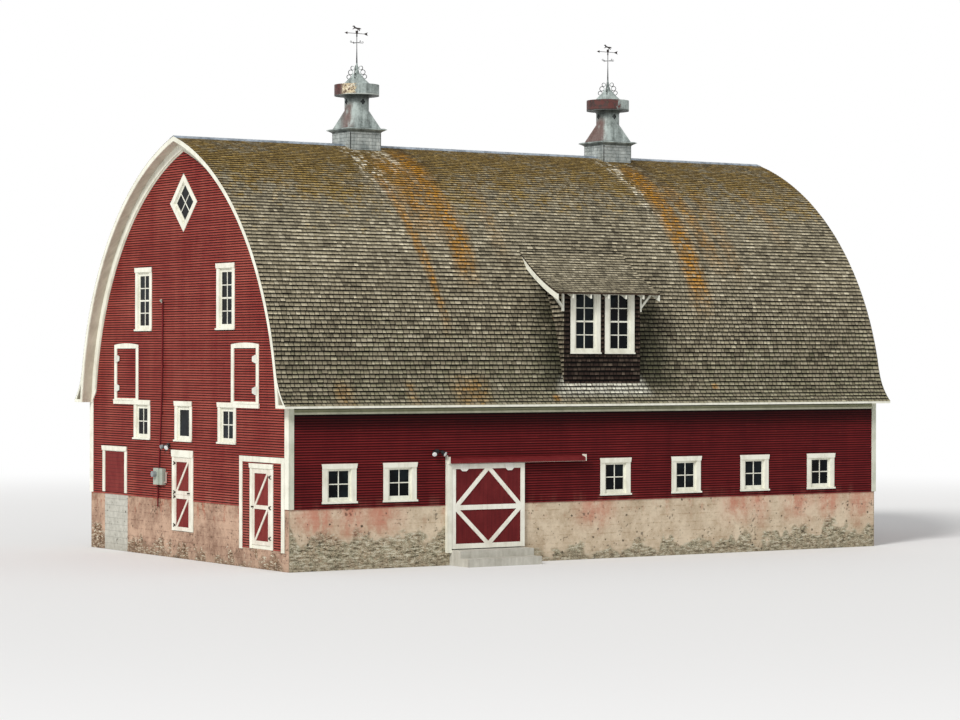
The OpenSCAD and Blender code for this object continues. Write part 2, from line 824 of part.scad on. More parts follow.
module window_frame(place, z, width, height, top_rail, square_end = 0) {
  left = place - width / 2;
  right = place + width / 2;
  top = z + height;
  low = [left + casing_width, z + sill_thickness];
  high = [right - casing_width, top - crown_height];
  jamb = [jamb_thickness, jamb_thickness];
  in_wall(trim_face, 0) difference() {
    rect([left, z], [right, top]);
    rect(low, high);
  }
  in_wall(0, wall_inner) difference() {
    rect(low, high);
    rect(low + jamb, high - jamb);
  }
  in_wall(glass_depth - 20, glass_depth + 20) difference() {
    rect(low + jamb, high - jamb);
    rect(low + jamb + [sash_width, sash_bottom], high - jamb - [sash_width, top_rail]);
  }
  crown(left, right, top - crown_height, top, square_end);
  block([left - 25, trim_face - 35, z], [right + 25, trim_face, z + sill_thickness]);
}

module window_light(place, z, width, height, top_rail) {
  side = casing_width + jamb_thickness + sash_width;
  bottom = z + sill_thickness + jamb_thickness + sash_bottom;
  block([place - width / 2 + side, glass_depth - glass_thickness / 2, bottom], [place + width / 2 - side,
    glass_depth + glass_thickness / 2, z + height - crown_height - jamb_thickness - top_rail]);
}

module diamond_ring(outer, inner, y0, y1) {
  in_wall(y0, y1) translate([gable_middle, diamond_z]) rotate(45) difference() {
    square(outer, center = true);
    square(inner, center = true);
  }
}

module diamond_frame() {
  hole = diamond_side - 2 * casing_width;
  diamond_ring(diamond_side, hole, trim_face, 0);
  light = hole - 2 * jamb_thickness;
  diamond_ring(hole, light, 0, wall_inner);
  diamond_ring(light, light - 2 * sash_width, glass_depth - 20, glass_depth + 20);
}

module gable_window_frames(join = 0) {
  for (i = [0 : 2])
    window_frame(low_window_places[i], low_window_z, casing_outer, low_window_height, gable_sash_top,
      join * (i - 1));
  for (place = tall_window_places)
    window_frame(place, tall_window_z, casing_outer, tall_window_height, gable_sash_top);
  diamond_frame();
}

module gable_window_lights() {
  for (place = low_window_places)
    window_light(place, low_window_z, casing_outer, low_window_height, gable_sash_top);
  for (place = tall_window_places)
    window_light(place, tall_window_z, casing_outer, tall_window_height, gable_sash_top);
  hole = diamond_side - 2 * (casing_width + jamb_thickness + sash_width);
  in_wall(glass_depth - glass_thickness / 2, glass_depth + glass_thickness / 2)
    translate([gable_middle, diamond_z]) rotate(45) square(hole, center = true);
}

module front_windows() {
  color([0.91, 0.89, 0.83]) on_front() for (place = front_window_places)
    window_frame(place, front_window_z, casing_outer, front_window_height, front_sash_top);
}

module back_windows() {
  color([0.91, 0.89, 0.83]) on_back() for (place = back_window_places)
    window_frame(place, front_window_z, casing_outer, front_window_height, front_sash_top);
}

module door_gable_windows() {
  color([0.91, 0.89, 0.83]) on_door_gable() gable_window_frames(1);
}

module far_gable_windows() {
  color([0.91, 0.89, 0.83]) on_far_gable() gable_window_frames();
}

// The dormer windows' own frame, y from the dormer's front face
module on_dormer() { translate([0, -dormer_front, 0]) children(); }

module dormer_window_frame(place) {
  left = place - dormer_window_width / 2;
  right = place + dormer_window_width / 2;
  top = dormer_sill_z + dormer_window_height;
  low = [left + dormer_casing, dormer_sill_z + dormer_casing_foot];
  high = [right - dormer_casing, top - dormer_casing_head];
  in_wall(trim_face, 0) difference() {
    rect([left, dormer_sill_z], [right, top]);
    rect(low, high);
  }
  in_wall(0, dormer_wall) difference() {
    rect(low, high);
    rect(low + [sash_width, sash_width], high - [sash_width, sash_width]);
  }
  block([left - 15, trim_face - 30, dormer_sill_z], [right + 15, trim_face, dormer_sill_z + 40]);
}

module dormer_light(place) {
  half = dormer_light_half - sash_width;
  top = dormer_sill_z + dormer_window_height - dormer_casing_head - sash_width;
  y = dormer_wall / 2 - glass_thickness / 2;
  block([place - half, y, dormer_sill_z + dormer_casing_foot + sash_width],
    [place + half, y + glass_thickness, top]);
}

dormer_places = [for (side = [-1, 1]) side * dormer_window_spacing / 2];

module dormer_windows() {
  color([0.91, 0.89, 0.83]) on_dormer() for (place = dormer_places) dormer_window_frame(place);
}

module window_glass() {
  color([0.10, 0.13, 0.15]) {
    on_front() for (place = front_window_places)
      window_light(place, front_window_z, casing_outer, front_window_height, front_sash_top);
    on_back() for (place = back_window_places)
      window_light(place, front_window_z, casing_outer, front_window_height, front_sash_top);
    on_door_gable() gable_window_lights();
    on_far_gable() gable_window_lights();
    on_dormer() for (place = dormer_places) dormer_light(place);
  }
}

// Dormer: a front wall and two cheeks, all standing on the curved roof
flare_seat_start = arch_reach(flare_top) + 10;
on_flare = flare_seat_start < dormer_front - 20;

module dormer_front_profile() {
  polygon(concat(under_points(dormer_front, dormer_back, -seat_gap),
    seat_points(dormer_back, on_flare ? arch_reach(flare_top + 30) : dormer_front, 6),
    on_flare ? [for (i = [0 : 4]) let (s = flare_seat_start + (dormer_front - flare_seat_start) * i / 4)
      [s, flare_centre.y - sqrt(pow(flare_radius - flare_lift, 2) - pow(flare_centre.x - s, 2))]] : []));
}

// Where a line of the dormer roof, raised above its underside, meets the arch
function roof_meet(raise, lift = seat_lift, near = half_width / 8, far = dormer_front, left = 26) =
  let (s = (near + far) / 2) left == 0 ? s :
    dormer_under(s) + raise > arch_top(s, -lift) ? roof_meet(raise, lift, near, s, left - 1)
    : roof_meet(raise, lift, s, far, left - 1);

module dormer_cheek_profile() {
  meet = roof_meet(-seat_gap);
  polygon(concat(under_points(dormer_back, meet, -seat_gap), seat_points(meet, dormer_back, 14)));
}

module dormer_walls() {
  color([0.24, 0.12, 0.11]) {
    difference() {
      along_barn(dormer_left, dormer_right) mirror([1, 0]) dormer_front_profile();
      on_dormer() for (place = dormer_places)
        block([place - dormer_light_half, -cut, dormer_sill_z + dormer_casing_foot],
          [place + dormer_light_half, dormer_wall + cut,
          dormer_sill_z + dormer_window_height - dormer_casing_head]);
    }
    along_barn(dormer_left, dormer_left + dormer_wall) mirror([1, 0]) dormer_cheek_profile();
    along_barn(dormer_right - dormer_wall, dormer_right) mirror([1, 0]) dormer_cheek_profile();
  }
}

module dormer_deck_profile() {
  top = roof_meet(dormer_deck);
  foot = roof_meet(0);
  polygon(concat(under_points(foot, dormer_tip, 0), under_points(dormer_tip, top, dormer_deck),
    seat_points(top, foot, 4)));
}

module dormer_roof() {
  color([0.46, 0.42, 0.35])
    along_barn(barge_board - dormer_edge, dormer_edge - barge_board) mirror([1, 0]) dormer_deck_profile();
}

// One rafter tail, square-cut at its end and notched over the windows' casing
module tail_profile() {
  tip = dormer_tip - 20;
  root = dormer_front - trim_face;
  notch = dormer_sill_z + dormer_window_height;
  polygon(concat(under_points(dormer_front, tip, -seat_gap), under_points(tip, root, -tail_depth),
    [[root, notch], [dormer_front, notch]]));
}

// The barge board closes the deck's end, from the barn's roof to the eave
module barge_profile() {
  top = roof_meet(dormer_deck);
  foot = roof_meet(-barge_depth);
  polygon(concat(under_points(foot, dormer_tip, -barge_depth), under_points(dormer_tip, top, dormer_deck),
    seat_points(top, foot, 6)));
}

module knee_bracket() {
  reach = dormer_side_overhang - barge_board;
  drop = bracket_height;
  head = dormer_head_z - seat_gap;
  in_wall(0, bracket_bar) {
    rect([0, head - drop], [bracket_bar, head]);
    rect([0, head - bracket_bar], [reach, head]);
    polygon([[0, head - drop + 30], [0, head - drop + 120], [reach, head - 50], [reach, head - 140]]);
  }
}

module dormer_brackets() {
  color([0.86, 0.84, 0.77]) {
    for (i = [-2 : 2]) along_barn(i * tail_spacing - 25, i * tail_spacing + 25)
      mirror([1, 0]) tail_profile();
    for (x = [-dormer_edge, dormer_edge - barge_board])
      along_barn(x, x + barge_board) mirror([1, 0]) barge_profile();
    translate([dormer_right, -dormer_front, 0]) knee_bracket();
    mirror([1, 0, 0]) translate([dormer_right, -dormer_front, 0]) knee_bracket();
  }
}

// Ventilators
base_top = apex_height + base_rise;
cornice_top = base_top + cornice_height;
neck_bottom = cornice_top + flare_body_height;
neck_top = neck_bottom + neck_height;
drum_top = neck_top + drum_height;
cap_top = drum_top + cap_height;
spire_top = cap_top + spire_height;
rod_top = spire_top + rod_height;
vane_sleeve = 150;
collar_height = 25;
sleeve_bottom = rod_top - vane_sleeve + 15;

module ventilator_base() {
  half = base_side / 2;
  along_barn(-half, half) both_sides()
    polygon(concat([[half, base_top], [0, base_top]], seat_points(0, half, 4)));
}

module ventilator_bases() {
  color([0.66, 0.70, 0.72]) for (side = [-1, 1])
    translate([side * ventilator_offset, 0, 0]) ventilator_base();
}

// The mitred cornice: what two crossing runs of one profile share
module cornice_profile() {
  half = cornice_side / 2;
  step = base_side / 2;
  polygon([[-step, base_top], [step, base_top], [step + 20, base_top + 30], [half - 15, cornice_top - 45],
    [half, cornice_top - 40], [half, cornice_top - 25], [half - 60, cornice_top],
    [60 - half, cornice_top], [-half, cornice_top - 25], [-half, cornice_top - 40],
    [15 - half, cornice_top - 45], [-step - 20, base_top + 30]]);
}

module cornice() {
  intersection() {
    along_barn(-cornice_side, cornice_side) cornice_profile();
    rotate(90) along_barn(-cornice_side, cornice_side) cornice_profile();
  }
}

// The square flares in to the round neck, as folded sheet does
module flared_body() {
  side = base_side - 10;
  hull() {
    translate([-side / 2, -side / 2, cornice_top]) cube([side, side, 1]);
    translate([0, 0, neck_bottom - 1]) cylinder(r = neck_radius, h = 1, $fn = 32);
  }
}

// The hollow curve of the cap
cap_steps = 6;
function cap_curve(i) = let (t = i / cap_steps)
  [cap_radius + (spire_radius - cap_radius) * pow(t, 0.95), drum_top + 20 + (cap_height - 20) * t];

module ventilator_turned() {
  lip = 12;
  rotate_extrude() polygon(concat(
    [[0, neck_bottom], [neck_radius, neck_bottom], [neck_radius, neck_top - 90],
    [neck_radius + 35, neck_top - 45], [neck_radius + 130, neck_top],
    [drum_radius - lip, neck_top], [drum_radius, neck_top - lip], [drum_radius, drum_top],
    [drum_radius - 15, drum_top]],
    [for (i = [0 : cap_steps]) cap_curve(i)],
    [[spire_radius * 0.8, cap_top + 20], [spire_radius * 0.42, cap_top + spire_height * 0.45],
    [rod_foot_radius, spire_top], [rod_radius, spire_top + 450], [rod_radius, sleeve_bottom - collar_height],
    [rod_radius + 9, sleeve_bottom - collar_height], [rod_radius + 9, sleeve_bottom],
    [rod_radius, sleeve_bottom],
    [rod_radius, rod_top], [0, rod_top]]));
}

// Four-lobed vent, cut as a recess in each side of the neck
module vent_recess() {
  lobe = 45;
  for (turn = [0 : 90 : 270]) rotate(turn) translate([0, -neck_radius + 25, neck_bottom + neck_height * 0.55])
    rotate([90, 0, 0]) {
      for (q = [0 : 90 : 270]) rotate(q) translate([lobe, 0, 0]) cylinder(r = lobe * 0.8, h = 100, $fn = 24);
      cylinder(r = lobe, h = 100, $fn = 24);
    }
}

module ring(x, z, r, bar) {
  translate([x, z]) difference() { circle(r = r, $fn = 32); circle(r = r - bar, $fn = 32); }
}

module scroll() {
  bar = 18;
  rotate([90, 0, 0]) translate([0, 0, -scroll_plate / 2]) linear_extrude(scroll_plate) {
    ring(spire_radius + 130, cap_top - 75, 70, bar);
    ring(spire_radius + 75, cap_top + 60, 78, bar);
    ring(spire_radius + 15, cap_top + 185, 65, bar);
    rect([30, cap_top - 20], [spire_radius + 40, cap_top + 8]);
    rect([20, cap_top + 165], [spire_radius - 40, cap_top + 185]);
  }
}

module direction_arms() {
  z = spire_top + arms_height;
  for (turn = [0, 90]) rotate(turn)
    translate([-arm_reach, -4, z - 6]) cube([2 * arm_reach, 8, 12]);
  for (turn = [0 : 90 : 270]) rotate(turn) rotate([90, 0, 0]) translate([0, 0, -4]) linear_extrude(8)
    ring(arm_reach, z + 22, 28, 9);
}

module ventilator() {
  difference() {
    union() {
      ventilator_turned();
      flared_body();
      cornice();
    }
    vent_recess();
  }
  for (turn = [45 : 90 : 315]) rotate(turn) scroll();
  direction_arms();
}

module ventilator_1() { color([0.55, 0.56, 0.55]) translate([-ventilator_offset, 0, 0]) ventilator(); }
module ventilator_2() { color([0.56, 0.52, 0.50]) translate([ventilator_offset, 0, 0]) ventilator(); }

// The vane: a sleeve on the rod, an arrow and a prancing horse of plate, pointing to -X at rest
module horse_outline() {
  polygon([[-120, 150], [-150, 128], [-142, 112], [-112, 118], [-96, 92], [-118, 62], [-150, 50], [-146, 36],
    [-104, 44], [-74, 66], [-30, 58], [14, 52], [30, 30], [22, 0], [44, 0], [52, 34], [60, 46], [84, 18],
    [80, 0], [100, 0], [106, 26], [92, 56], [118, 66], [142, 48], [150, 56], [126, 88], [96, 92], [56, 92],
    [10, 94], [-40, 106], [-76, 136], [-88, 156], [-98, 146]]);
}

module weathervane() {
  bore = rod_radius + pin_play;
  arrow_z = sleeve_bottom + 70;
  difference() {
    union() {
      translate([0, 0, sleeve_bottom + pin_play]) cylinder(r = rod_radius + 8, h = vane_sleeve);
      translate([-arrow_half, -vane_plate / 2, arrow_z - 8]) cube([2 * arrow_half, vane_plate, 16]);
      translate([0, vane_plate / 2, 0]) rotate([90, 0, 0]) linear_extrude(vane_plate) {
        polygon([[-arrow_half - 60, arrow_z], [40 - arrow_half, arrow_z - 40],
          [40 - arrow_half, arrow_z + 40]]);
        polygon([[arrow_half - 120, arrow_z - 6], [arrow_half + 20, arrow_z - 55], [arrow_half - 20, arrow_z],
          [arrow_half + 20, arrow_z + 55], [arrow_half - 120, arrow_z + 6]]);
        translate([0, sleeve_bottom + vane_sleeve - 4]) horse_outline();
        rect([-40, arrow_z], [40, sleeve_bottom + vane_sleeve]);
      }
    }
    translate([0, 0, sleeve_bottom - cut]) cylinder(r = bore, h = rod_top - sleeve_bottom + cut + pin_play);
  }
}

module weathervane_1() { color([0.22, 0.22, 0.23]) translate([-ventilator_offset, 0, 0]) weathervane(); }
module weathervane_2() { color([0.22, 0.22, 0.23]) translate([ventilator_offset, 0, 0]) weathervane(); }

// Closed loft doors in white frames with shallow arched heads; the foot board runs in to the low window's
// crown, and two hinge plates reach over the leaf from the outer jamb.
module loft_door(place, hinge_side) {
  left = place - loft_door_width / 2;
  right = place + loft_door_width / 2;
  board = loft_frame_width;
  radius = (pow(loft_door_width / 2, 2) + pow(loft_head_rise, 2)) / (2 * loft_head_rise);
  in_wall(trim_face, 0) difference() {
    intersection() {
      rect([left, loft_board_top], [right, loft_door_top]);
      translate([place, loft_door_top - radius]) circle(r = radius, $fn = arc_fn);
    }
    rect([left + board, loft_leaf_bottom], [right - board, loft_leaf_top]);
  }
  near = low_window_places[hinge_side < 0 ? 0 : 2] + hinge_side * (casing_outer / 2 + crown_splay);
  far = place + hinge_side * (loft_door_width / 2 + 30);
  block([min(near, far), trim_face - 20, loft_door_z], [max(near, far), 0, loft_board_top]);
  block([min(near, far), trim_face - 35, loft_board_top - 22],
    [max(near, far), trim_face - 20, loft_board_top]);
  in_wall(10, 60) rect([left + board, loft_leaf_bottom], [right - board, loft_leaf_top]);
  edge = hinge_side < 0 ? left + board : right - board;
  tip = edge - hinge_side * loft_plate_reach;
  outer = edge + hinge_side * board * 0.6;
  leaf_height = loft_leaf_top - loft_leaf_bottom;
  for (z = [loft_leaf_bottom + leaf_height * 0.205, loft_leaf_top - leaf_height * 0.205])
    in_wall(trim_face - 15, trim_face) polygon([[outer, z - 118], [edge, z - 118], [tip, z - 65],
      [tip, z + 65], [edge, z + 118], [outer, z + 118]]);
}

module loft_doors() {
  color([0.80, 0.62, 0.58]) on_door_gable() {
    loft_door(loft_door_places[0], -1);
    loft_door(loft_door_places[1], 1);
  }
}

// The blind door on the wall: casing, cap and a panel of boards
module blind_door() {
  left = blind_door_place - blind_door_width / 2;
  right = blind_door_place + blind_door_width / 2;
  bottom = foundation_top + 50;
  top = bottom + blind_door_height;
  color([0.78, 0.55, 0.52]) on_door_gable() {
    in_wall(trim_face - 10, 0) difference() {
      rect([left, bottom], [right, top]);
      rect([left + casing_width, bottom - cut], [right - casing_width, top - casing_width]);
    }
    in_wall(-12, 0) rect([left + casing_width, bottom], [right - casing_width, top - casing_width]);
    in_wall(trim_face - 35, trim_face - 10) polygon([[left - 4, top - crown_height],
      [right + 4, top - crown_height], [right + crown_splay, top], [left - crown_splay, top]]);
  }
}

// A hinge: x = 0 is the axis, the leaf is towards +x, z = 0 the middle of the turning knuckle
knuckle_half = 30;
hinge_end = 22;
hinge_y = leaf_face - knuckle_radius - 2;
hinge_plate = 6;

module hinge_fixed() {
  translate([0, hinge_y, 0]) {
    translate([0, 0, -knuckle_half - hinge_end]) cylinder(r = knuckle_radius, h = hinge_end);
    translate([0, 0, knuckle_half + 0.7]) cylinder(r = knuckle_radius, h = hinge_end);
    translate([0, 0, -knuckle_half - 1]) cylinder(r = hinge_pin_radius, h = 2 * knuckle_half + 2);
  }
  block([-62, leaf_face - hinge_plate, -knuckle_half - hinge_end], [0, leaf_face, -knuckle_half]);
  block([-62, leaf_face - hinge_plate, knuckle_half + 0.7], [0, leaf_face, knuckle_half + hinge_end + 0.7]);
}

module hinge_turning() {
  difference() {
    union() {
      translate([0, hinge_y, -knuckle_half + pin_play]) cylinder(r = knuckle_radius,
        h = 2 * knuckle_half - pin_play);
      block([hinge_pin_radius + 2, leaf_face - hinge_plate, -knuckle_half + pin_play],
        [90, leaf_face, knuckle_half]);
    }
    translate([0, hinge_y, -knuckle_half - cut]) cylinder(r = hinge_pin_radius + pin_play,
      h = 2 * knuckle_half + 2 * cut);
  }
}

// One leaf: boards behind, stiles, rails and a brace in front, x from its left edge
module leaf(height, low_rail, top_rail) {
  in_wall(leaf_face + leaf_rail, leaf_back) rect([0, 0], [leaf_width, height]);
  in_wall(leaf_face, leaf_face + leaf_rail) {
    difference() {
      rect([0, 0], [leaf_width, height]);
      rect([rail_width, low_rail], [leaf_width - rail_width, height - top_rail]);
    }
    polygon([[rail_width, low_rail], [rail_width + 95, low_rail],
      [leaf_width - rail_width, height - top_rail], [leaf_width - rail_width - 95, height - top_rail]]);
  }
}

module knob(x, z) {
  translate([x, leaf_face, z]) rotate([90, 0, 0]) {
    cylinder(r = 24, h = 8);
    cylinder(r = 9, h = 40);
    translate([0, 0, 48]) sphere(r = 26);
  }
}

upper_leaf_bottom = lower_leaf_height + door_gap;
upper_leaf_height = middle_door_height - upper_leaf_bottom;
middle_hinges_lower = [150, lower_leaf_height - 60];
middle_hinges_upper = [upper_leaf_bottom + 60, middle_door_height - 150];
corner_hinges = [200, corner_door_height / 2, corner_door_height - 200];

module on_middle_door() {
  on_door_gable() translate([middle_door_place - leaf_width / 2, 0, middle_door_bottom]) children();
}

module on_corner_door() {
  on_door_gable() translate([corner_door_place - leaf_width / 2, 0, corner_door_bottom]) children();
}

middle_axis_x = -door_gap / 2;
corner_axis_x = leaf_width + door_gap / 2;

// Lining, stops, casing and cap round a leaf, x from its left edge and z from its foot
module door_frame(height, outside_bottom, head) {
  low = -door_gap;
  left = -door_gap - lining_board;
  right = leaf_width + door_gap + lining_board;
  top = height + door_gap + lining_board;
  in_wall(0, wall_inner) difference() {
    rect([left, low], [right, top]);
    rect([-door_gap, low - cut], [leaf_width + door_gap, height + door_gap]);
  }
  stop = 20;
  in_wall(leaf_back + 5, leaf_back + 30) difference() {
    rect([-door_gap, low], [leaf_width + door_gap, height + door_gap]);
    rect([stop - door_gap, low - cut], [leaf_width + door_gap - stop, height + door_gap - stop]);
  }
  in_wall(trim_face, 0) difference() {
    rect([-door_gap - door_casing, outside_bottom], [leaf_width + door_gap + door_casing,
      height + door_gap + head]);
    rect([-door_gap, outside_bottom - cut], [leaf_width + door_gap, height + door_gap]);
  }
  cap_top = height + door_gap + head;
  crown(-door_gap - door_casing, leaf_width + door_gap + door_casing,
    cap_top - min(195, head - 20), cap_top);
}

module middle_door_frame() {
  color([0.90, 0.88, 0.82]) on_middle_door() {
    door_frame(middle_door_height, -door_gap, middle_head_board);
    for (z = concat(middle_hinges_lower, middle_hinges_upper)) translate([middle_axis_x, 0, z]) hinge_fixed();
  }
}

module middle_door_lower_leaf() {
  color([0.75, 0.45, 0.42]) on_middle_door() {
    leaf(lower_leaf_height, rail_width, rail_width);
    for (z = middle_hinges_lower) translate([middle_axis_x, 0, z]) hinge_turning();
  }
}

module middle_door_upper_leaf() {
  color([0.75, 0.45, 0.42]) on_middle_door() {
    translate([0, 0, upper_leaf_bottom]) leaf(upper_leaf_height, rail_width, rail_width);
    for (z = middle_hinges_upper) translate([middle_axis_x, 0, z]) hinge_turning();
    knob(leaf_width - 60, upper_leaf_bottom + 55);
  }
}

module corner_door_frame() {
  color([0.90, 0.88, 0.82]) {
    on_corner_door() {
      door_frame(corner_door_height, bay_low - corner_door_bottom, corner_head_board);
      block([-door_gap - lining_board, 0, bay_low - corner_door_bottom],
        [leaf_width + door_gap + lining_board, wall_inner, -door_gap]);
      for (z = corner_hinges) translate([corner_axis_x, 0, z]) mirror([1, 0, 0]) hinge_fixed();
    }
    on_door_gable() in_wall(trim_face, 0) difference() {
      rect([bay_left, bay_low - 40], [bay_right, bay_top]);
      rect([bay_left + bay_board, bay_low - 40 - cut], [bay_right - bay_board, bay_top - 150]);
    }
  }
}

module corner_door_leaf() {
  half_leaf = corner_door_height / 2;
  color([0.75, 0.45, 0.42]) on_corner_door() {
    leaf(half_leaf, rail_width, rail_width / 2);
    translate([0, 0, half_leaf]) leaf(half_leaf, rail_width / 2, rail_width);
    for (z = corner_hinges) translate([corner_axis_x, 0, z]) mirror([1, 0, 0]) hinge_turning();
    knob(60, half_leaf);
  }
}

// Sliding door, its track and its hood, in the front wall's frame
rail_y = slider_back - (leaf_board + leaf_rail) / 2;
rail_top = slider_top + 50;
rail_height = 30;
hanger_places = [slider_left + slider_width * 0.17, slider_right - slider_width * 0.21];

module slider_brace(from, to) {
  polygon([from - [85, 0], from + [85, 0], to + [85, 0], to - [85, 0]]);
}

module sliding_door() {
  middle = slider_left + slider_width / 2;
  mid_z = slider_bottom + slider_height * 0.485;
  low = [slider_left, slider_bottom];
  high = [slider_right, slider_top];
  color([0.70, 0.40, 0.38]) on_front() {
    in_wall(slider_back - leaf_board, slider_back) rect(low, high);
    in_wall(slider_front, slider_back - leaf_board) {
      difference() {
        rect(low, high);
        rect(low + [slider_rail, slider_rail], high - [slider_rail, slider_rail]);
      }
      rect([slider_left, mid_z - slider_rail / 2], [slider_right, mid_z + slider_rail / 2]);
      for (side = [-1, 1]) {
        edge = middle + side * (slider_width / 2 - slider_rail - 40);
        slider_brace([edge, mid_z + 55], [middle + side * 30, slider_top - slider_rail + 5]);
        slider_brace([edge, mid_z - 55], [middle + side * 30, slider_bottom + slider_rail - 5]);
      }
    }
    for (place = hanger_places) {
      in_wall(slider_front - 12, slider_front)
        polygon([[place - 165, slider_top], [place + 165, slider_top], [place + 165, slider_top - 110],
          [place + 70, slider_top - 200], [place - 70, slider_top - 200], [place - 165, slider_top - 110]]);
      block([place - 30, slider_front - 12, slider_top - 100],
        [place + 30, slider_front - 2, rail_top + wheel_radius + 25]);
      translate([place, rail_y - 9, rail_top + pin_play + wheel_radius]) rotate([-90, 0, 0])
        cylinder(r = wheel_radius, h = 18);
      translate([place, slider_front - 12, rail_top + pin_play + wheel_radius]) rotate([-90, 0, 0])
        cylinder(r = 10, h = rail_y - slider_front + 16);
    }
  }
}

hood_bottom = slider_top + 18;
hood_top = hood_bottom + hood_height;

module sliding_door_track() {
  color([0.50, 0.14, 0.15]) on_front() {
    block([hood_left, rail_y - 4, rail_top - rail_height], [hood_right, rail_y + 4, rail_top]);
    for (place = [hood_left + 150, (hood_left + hood_right) / 2, hood_right - 150])
      block([place - 20, rail_y + 4, rail_top - rail_height], [place + 20, 0, rail_top - 8]);
    along_wall(hood_left, hood_right) polygon([[0, hood_top], [-hood_depth, hood_top - 60],
      [-hood_depth, hood_bottom], [22 - hood_depth, hood_bottom], [22 - hood_depth, hood_top - 80],
      [0, hood_top - 24]]);
    for (x = [hood_left - 22, hood_right])
      block([x, -hood_depth - 5, hood_bottom], [x + 22, 0, hood_top + 25]);
    block([post_left, slider_front - 20, post_bottom], [hood_left - 22, 0, hood_top + 60]);
    block([hood_left - 22, slider_front - 20, post_bottom], [slider_left - 10, 0, hood_bottom]);
  }
}

// A drawing across the wall, y into the barn and z up, carried from x0 to x1
module along_wall(x0, x1) { translate([x0, 0, 0]) rotate([90, 0, 90]) linear_extrude(x1 - x0) children(); }

module door_step() {
  color([0.70, 0.68, 0.63]) on_front() {
    front = foundation_setback;
    block([slider_left - 10, front - upper_step_depth, 0], [slider_right, front, floor_level - 5]);
    block([slider_left - 10, front - upper_step_depth - lower_step_tread, 0],
      [slider_right, front - upper_step_depth, floor_level - 5 - step_rise]);
  }
}

// Meter box, switch box, the conduit up to the service head, and twin flood lights
module flood_light(x, z) {
  translate([x, 0, z]) {
    block([-60, -50, -60], [60, 0, 60]);
    for (side = [-1, 1]) translate([side * flood_spread, -90, -20]) rotate([115, 0, side * 25])
      cylinder(r1 = 45, r2 = 75, h = 130);
    for (side = [-1, 1])
      block([min(0, side * flood_spread), -60, -12], [max(0, side * flood_spread), -36, 12]);
    for (side = [-1, 1])
      block([side * flood_spread - 12, -110, -20], [side * flood_spread + 12, -36, 12]);
  }
}

// A pipe between two places, both [along the wall, up], at a distance off the wall
module pipe(from, to, r = conduit_radius) {
  run = to - from;
  translate([from.x, -conduit_off, from.y]) rotate([0, atan2(run.x, run.y), 0])
    cylinder(r = r, h = norm(run));
}

module pipe_strap(x, z) {
  block([x - 45, -conduit_off, z - 14], [x + 45, 0, z + 14]);
}

meter_left = gable_middle - meter_shift;
meter_z = foundation_top + meter_height;
meter_top = meter_z + meter_tall;
switch_left = meter_left + meter_width + 6;
switch_right = switch_left + switch_width;

module service_conduit() {
  foot = [meter_left + meter_width * 0.5, meter_top - 2];
  head = [gable_middle - service_head_shift, foundation_top + service_head_height];
  bend = [head.x - 38, foundation_top + conduit_bend_height];
  pipe(foot, bend);
  pipe(bend, head);
  translate([bend.x, -conduit_off, bend.y]) sphere(r = conduit_radius + 4);
  translate([head.x, -conduit_off, head.y - 40]) rotate([35, 0, 0])
    cylinder(r1 = conduit_radius + 8, r2 = conduit_radius + 20, h = 110);
  for (t = [0.3, 0.75]) {
    pipe_strap(foot.x + (bend.x - foot.x) * t, foot.y + (bend.y - foot.y) * t);
    pipe_strap(bend.x + (head.x - bend.x) * t, bend.y + (head.y - bend.y) * t);
  }
  down = meter_left + meter_width * 0.3;
  pipe([down, foundation_top - 250], [down, meter_z + 2]);
  pipe_strap(down, foundation_top + 100);
}

// The short loop of pipe out of the switch box's side, up and back in to the wall
module side_loop() {
  x = switch_right + 105;
  low = meter_z + 75;
  high = low + 270;
  r = conduit_radius - 3;
  translate([switch_right - 3, -conduit_off, low]) rotate([0, 90, 0]) cylinder(r = r, h = 108);
  pipe([x, low], [x, high], r);
  for (z = [low, high]) translate([x, -conduit_off, z]) sphere(r = r + 5);
  translate([x, -conduit_off, high]) rotate([-90, 0, 0]) cylinder(r = r, h = conduit_off);
}

module wall_fittings() {
  color([0.62, 0.64, 0.65]) {
    on_door_gable() {
      block([meter_left, -meter_depth, meter_z], [meter_left + meter_width, 0, meter_top]);
      block([meter_left + meter_width - 3, 20 - switch_depth, meter_z + 30],
        [switch_left + 3, 0, meter_top - 30]);
      block([switch_left, -switch_depth, meter_z], [switch_right, 0, meter_top - 8]);
      translate([meter_left + meter_width * 0.42, -meter_depth + 1, meter_z + meter_tall * 0.64])
        rotate([90, 0, 0]) cylinder(r = 85, h = 111);
      service_conduit();
      side_loop();
      flood_light(gable_middle - gable_lights_shift, foundation_top + flood_light_height);
    }
    on_front() flood_light(slider_left - front_lights_gap,
      foundation_top + flood_light_height - front_lights_drop);
  }
}

foundation_front();
foundation_back();
foundation_door_gable();
foundation_far_gable();
door_sills();
floor_slab();
loft_floor();
front_wall();
front_wall_over_door();
back_wall();
door_gable_wall_lower();
door_gable_wall_upper();
corner_door_bay();
far_gable_wall();
roof_front();
roof_back();
ridge_cap();
rake_boards();
eave_trim();
corner_and_gable_trim();
front_windows();
back_windows();
door_gable_windows();
far_gable_windows();
window_glass();
dormer_walls();
dormer_roof();
dormer_windows();
dormer_brackets();
ventilator_bases();
ventilator_1();
ventilator_2();
weathervane_1();
weathervane_2();
loft_doors();
blind_door();
middle_door_frame();
middle_door_upper_leaf();
middle_door_lower_leaf();
corner_door_frame();
corner_door_leaf();
sliding_door();
sliding_door_track();
door_step();
wall_fittings();
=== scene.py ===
"""A gothic-arch barn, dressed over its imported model: lapped siding, wood shingles, glazing bars, rubble
faces, lamp lenses, and the paints, metals, timber and concrete of every surface. All sizes are metres."""
from __future__ import annotations

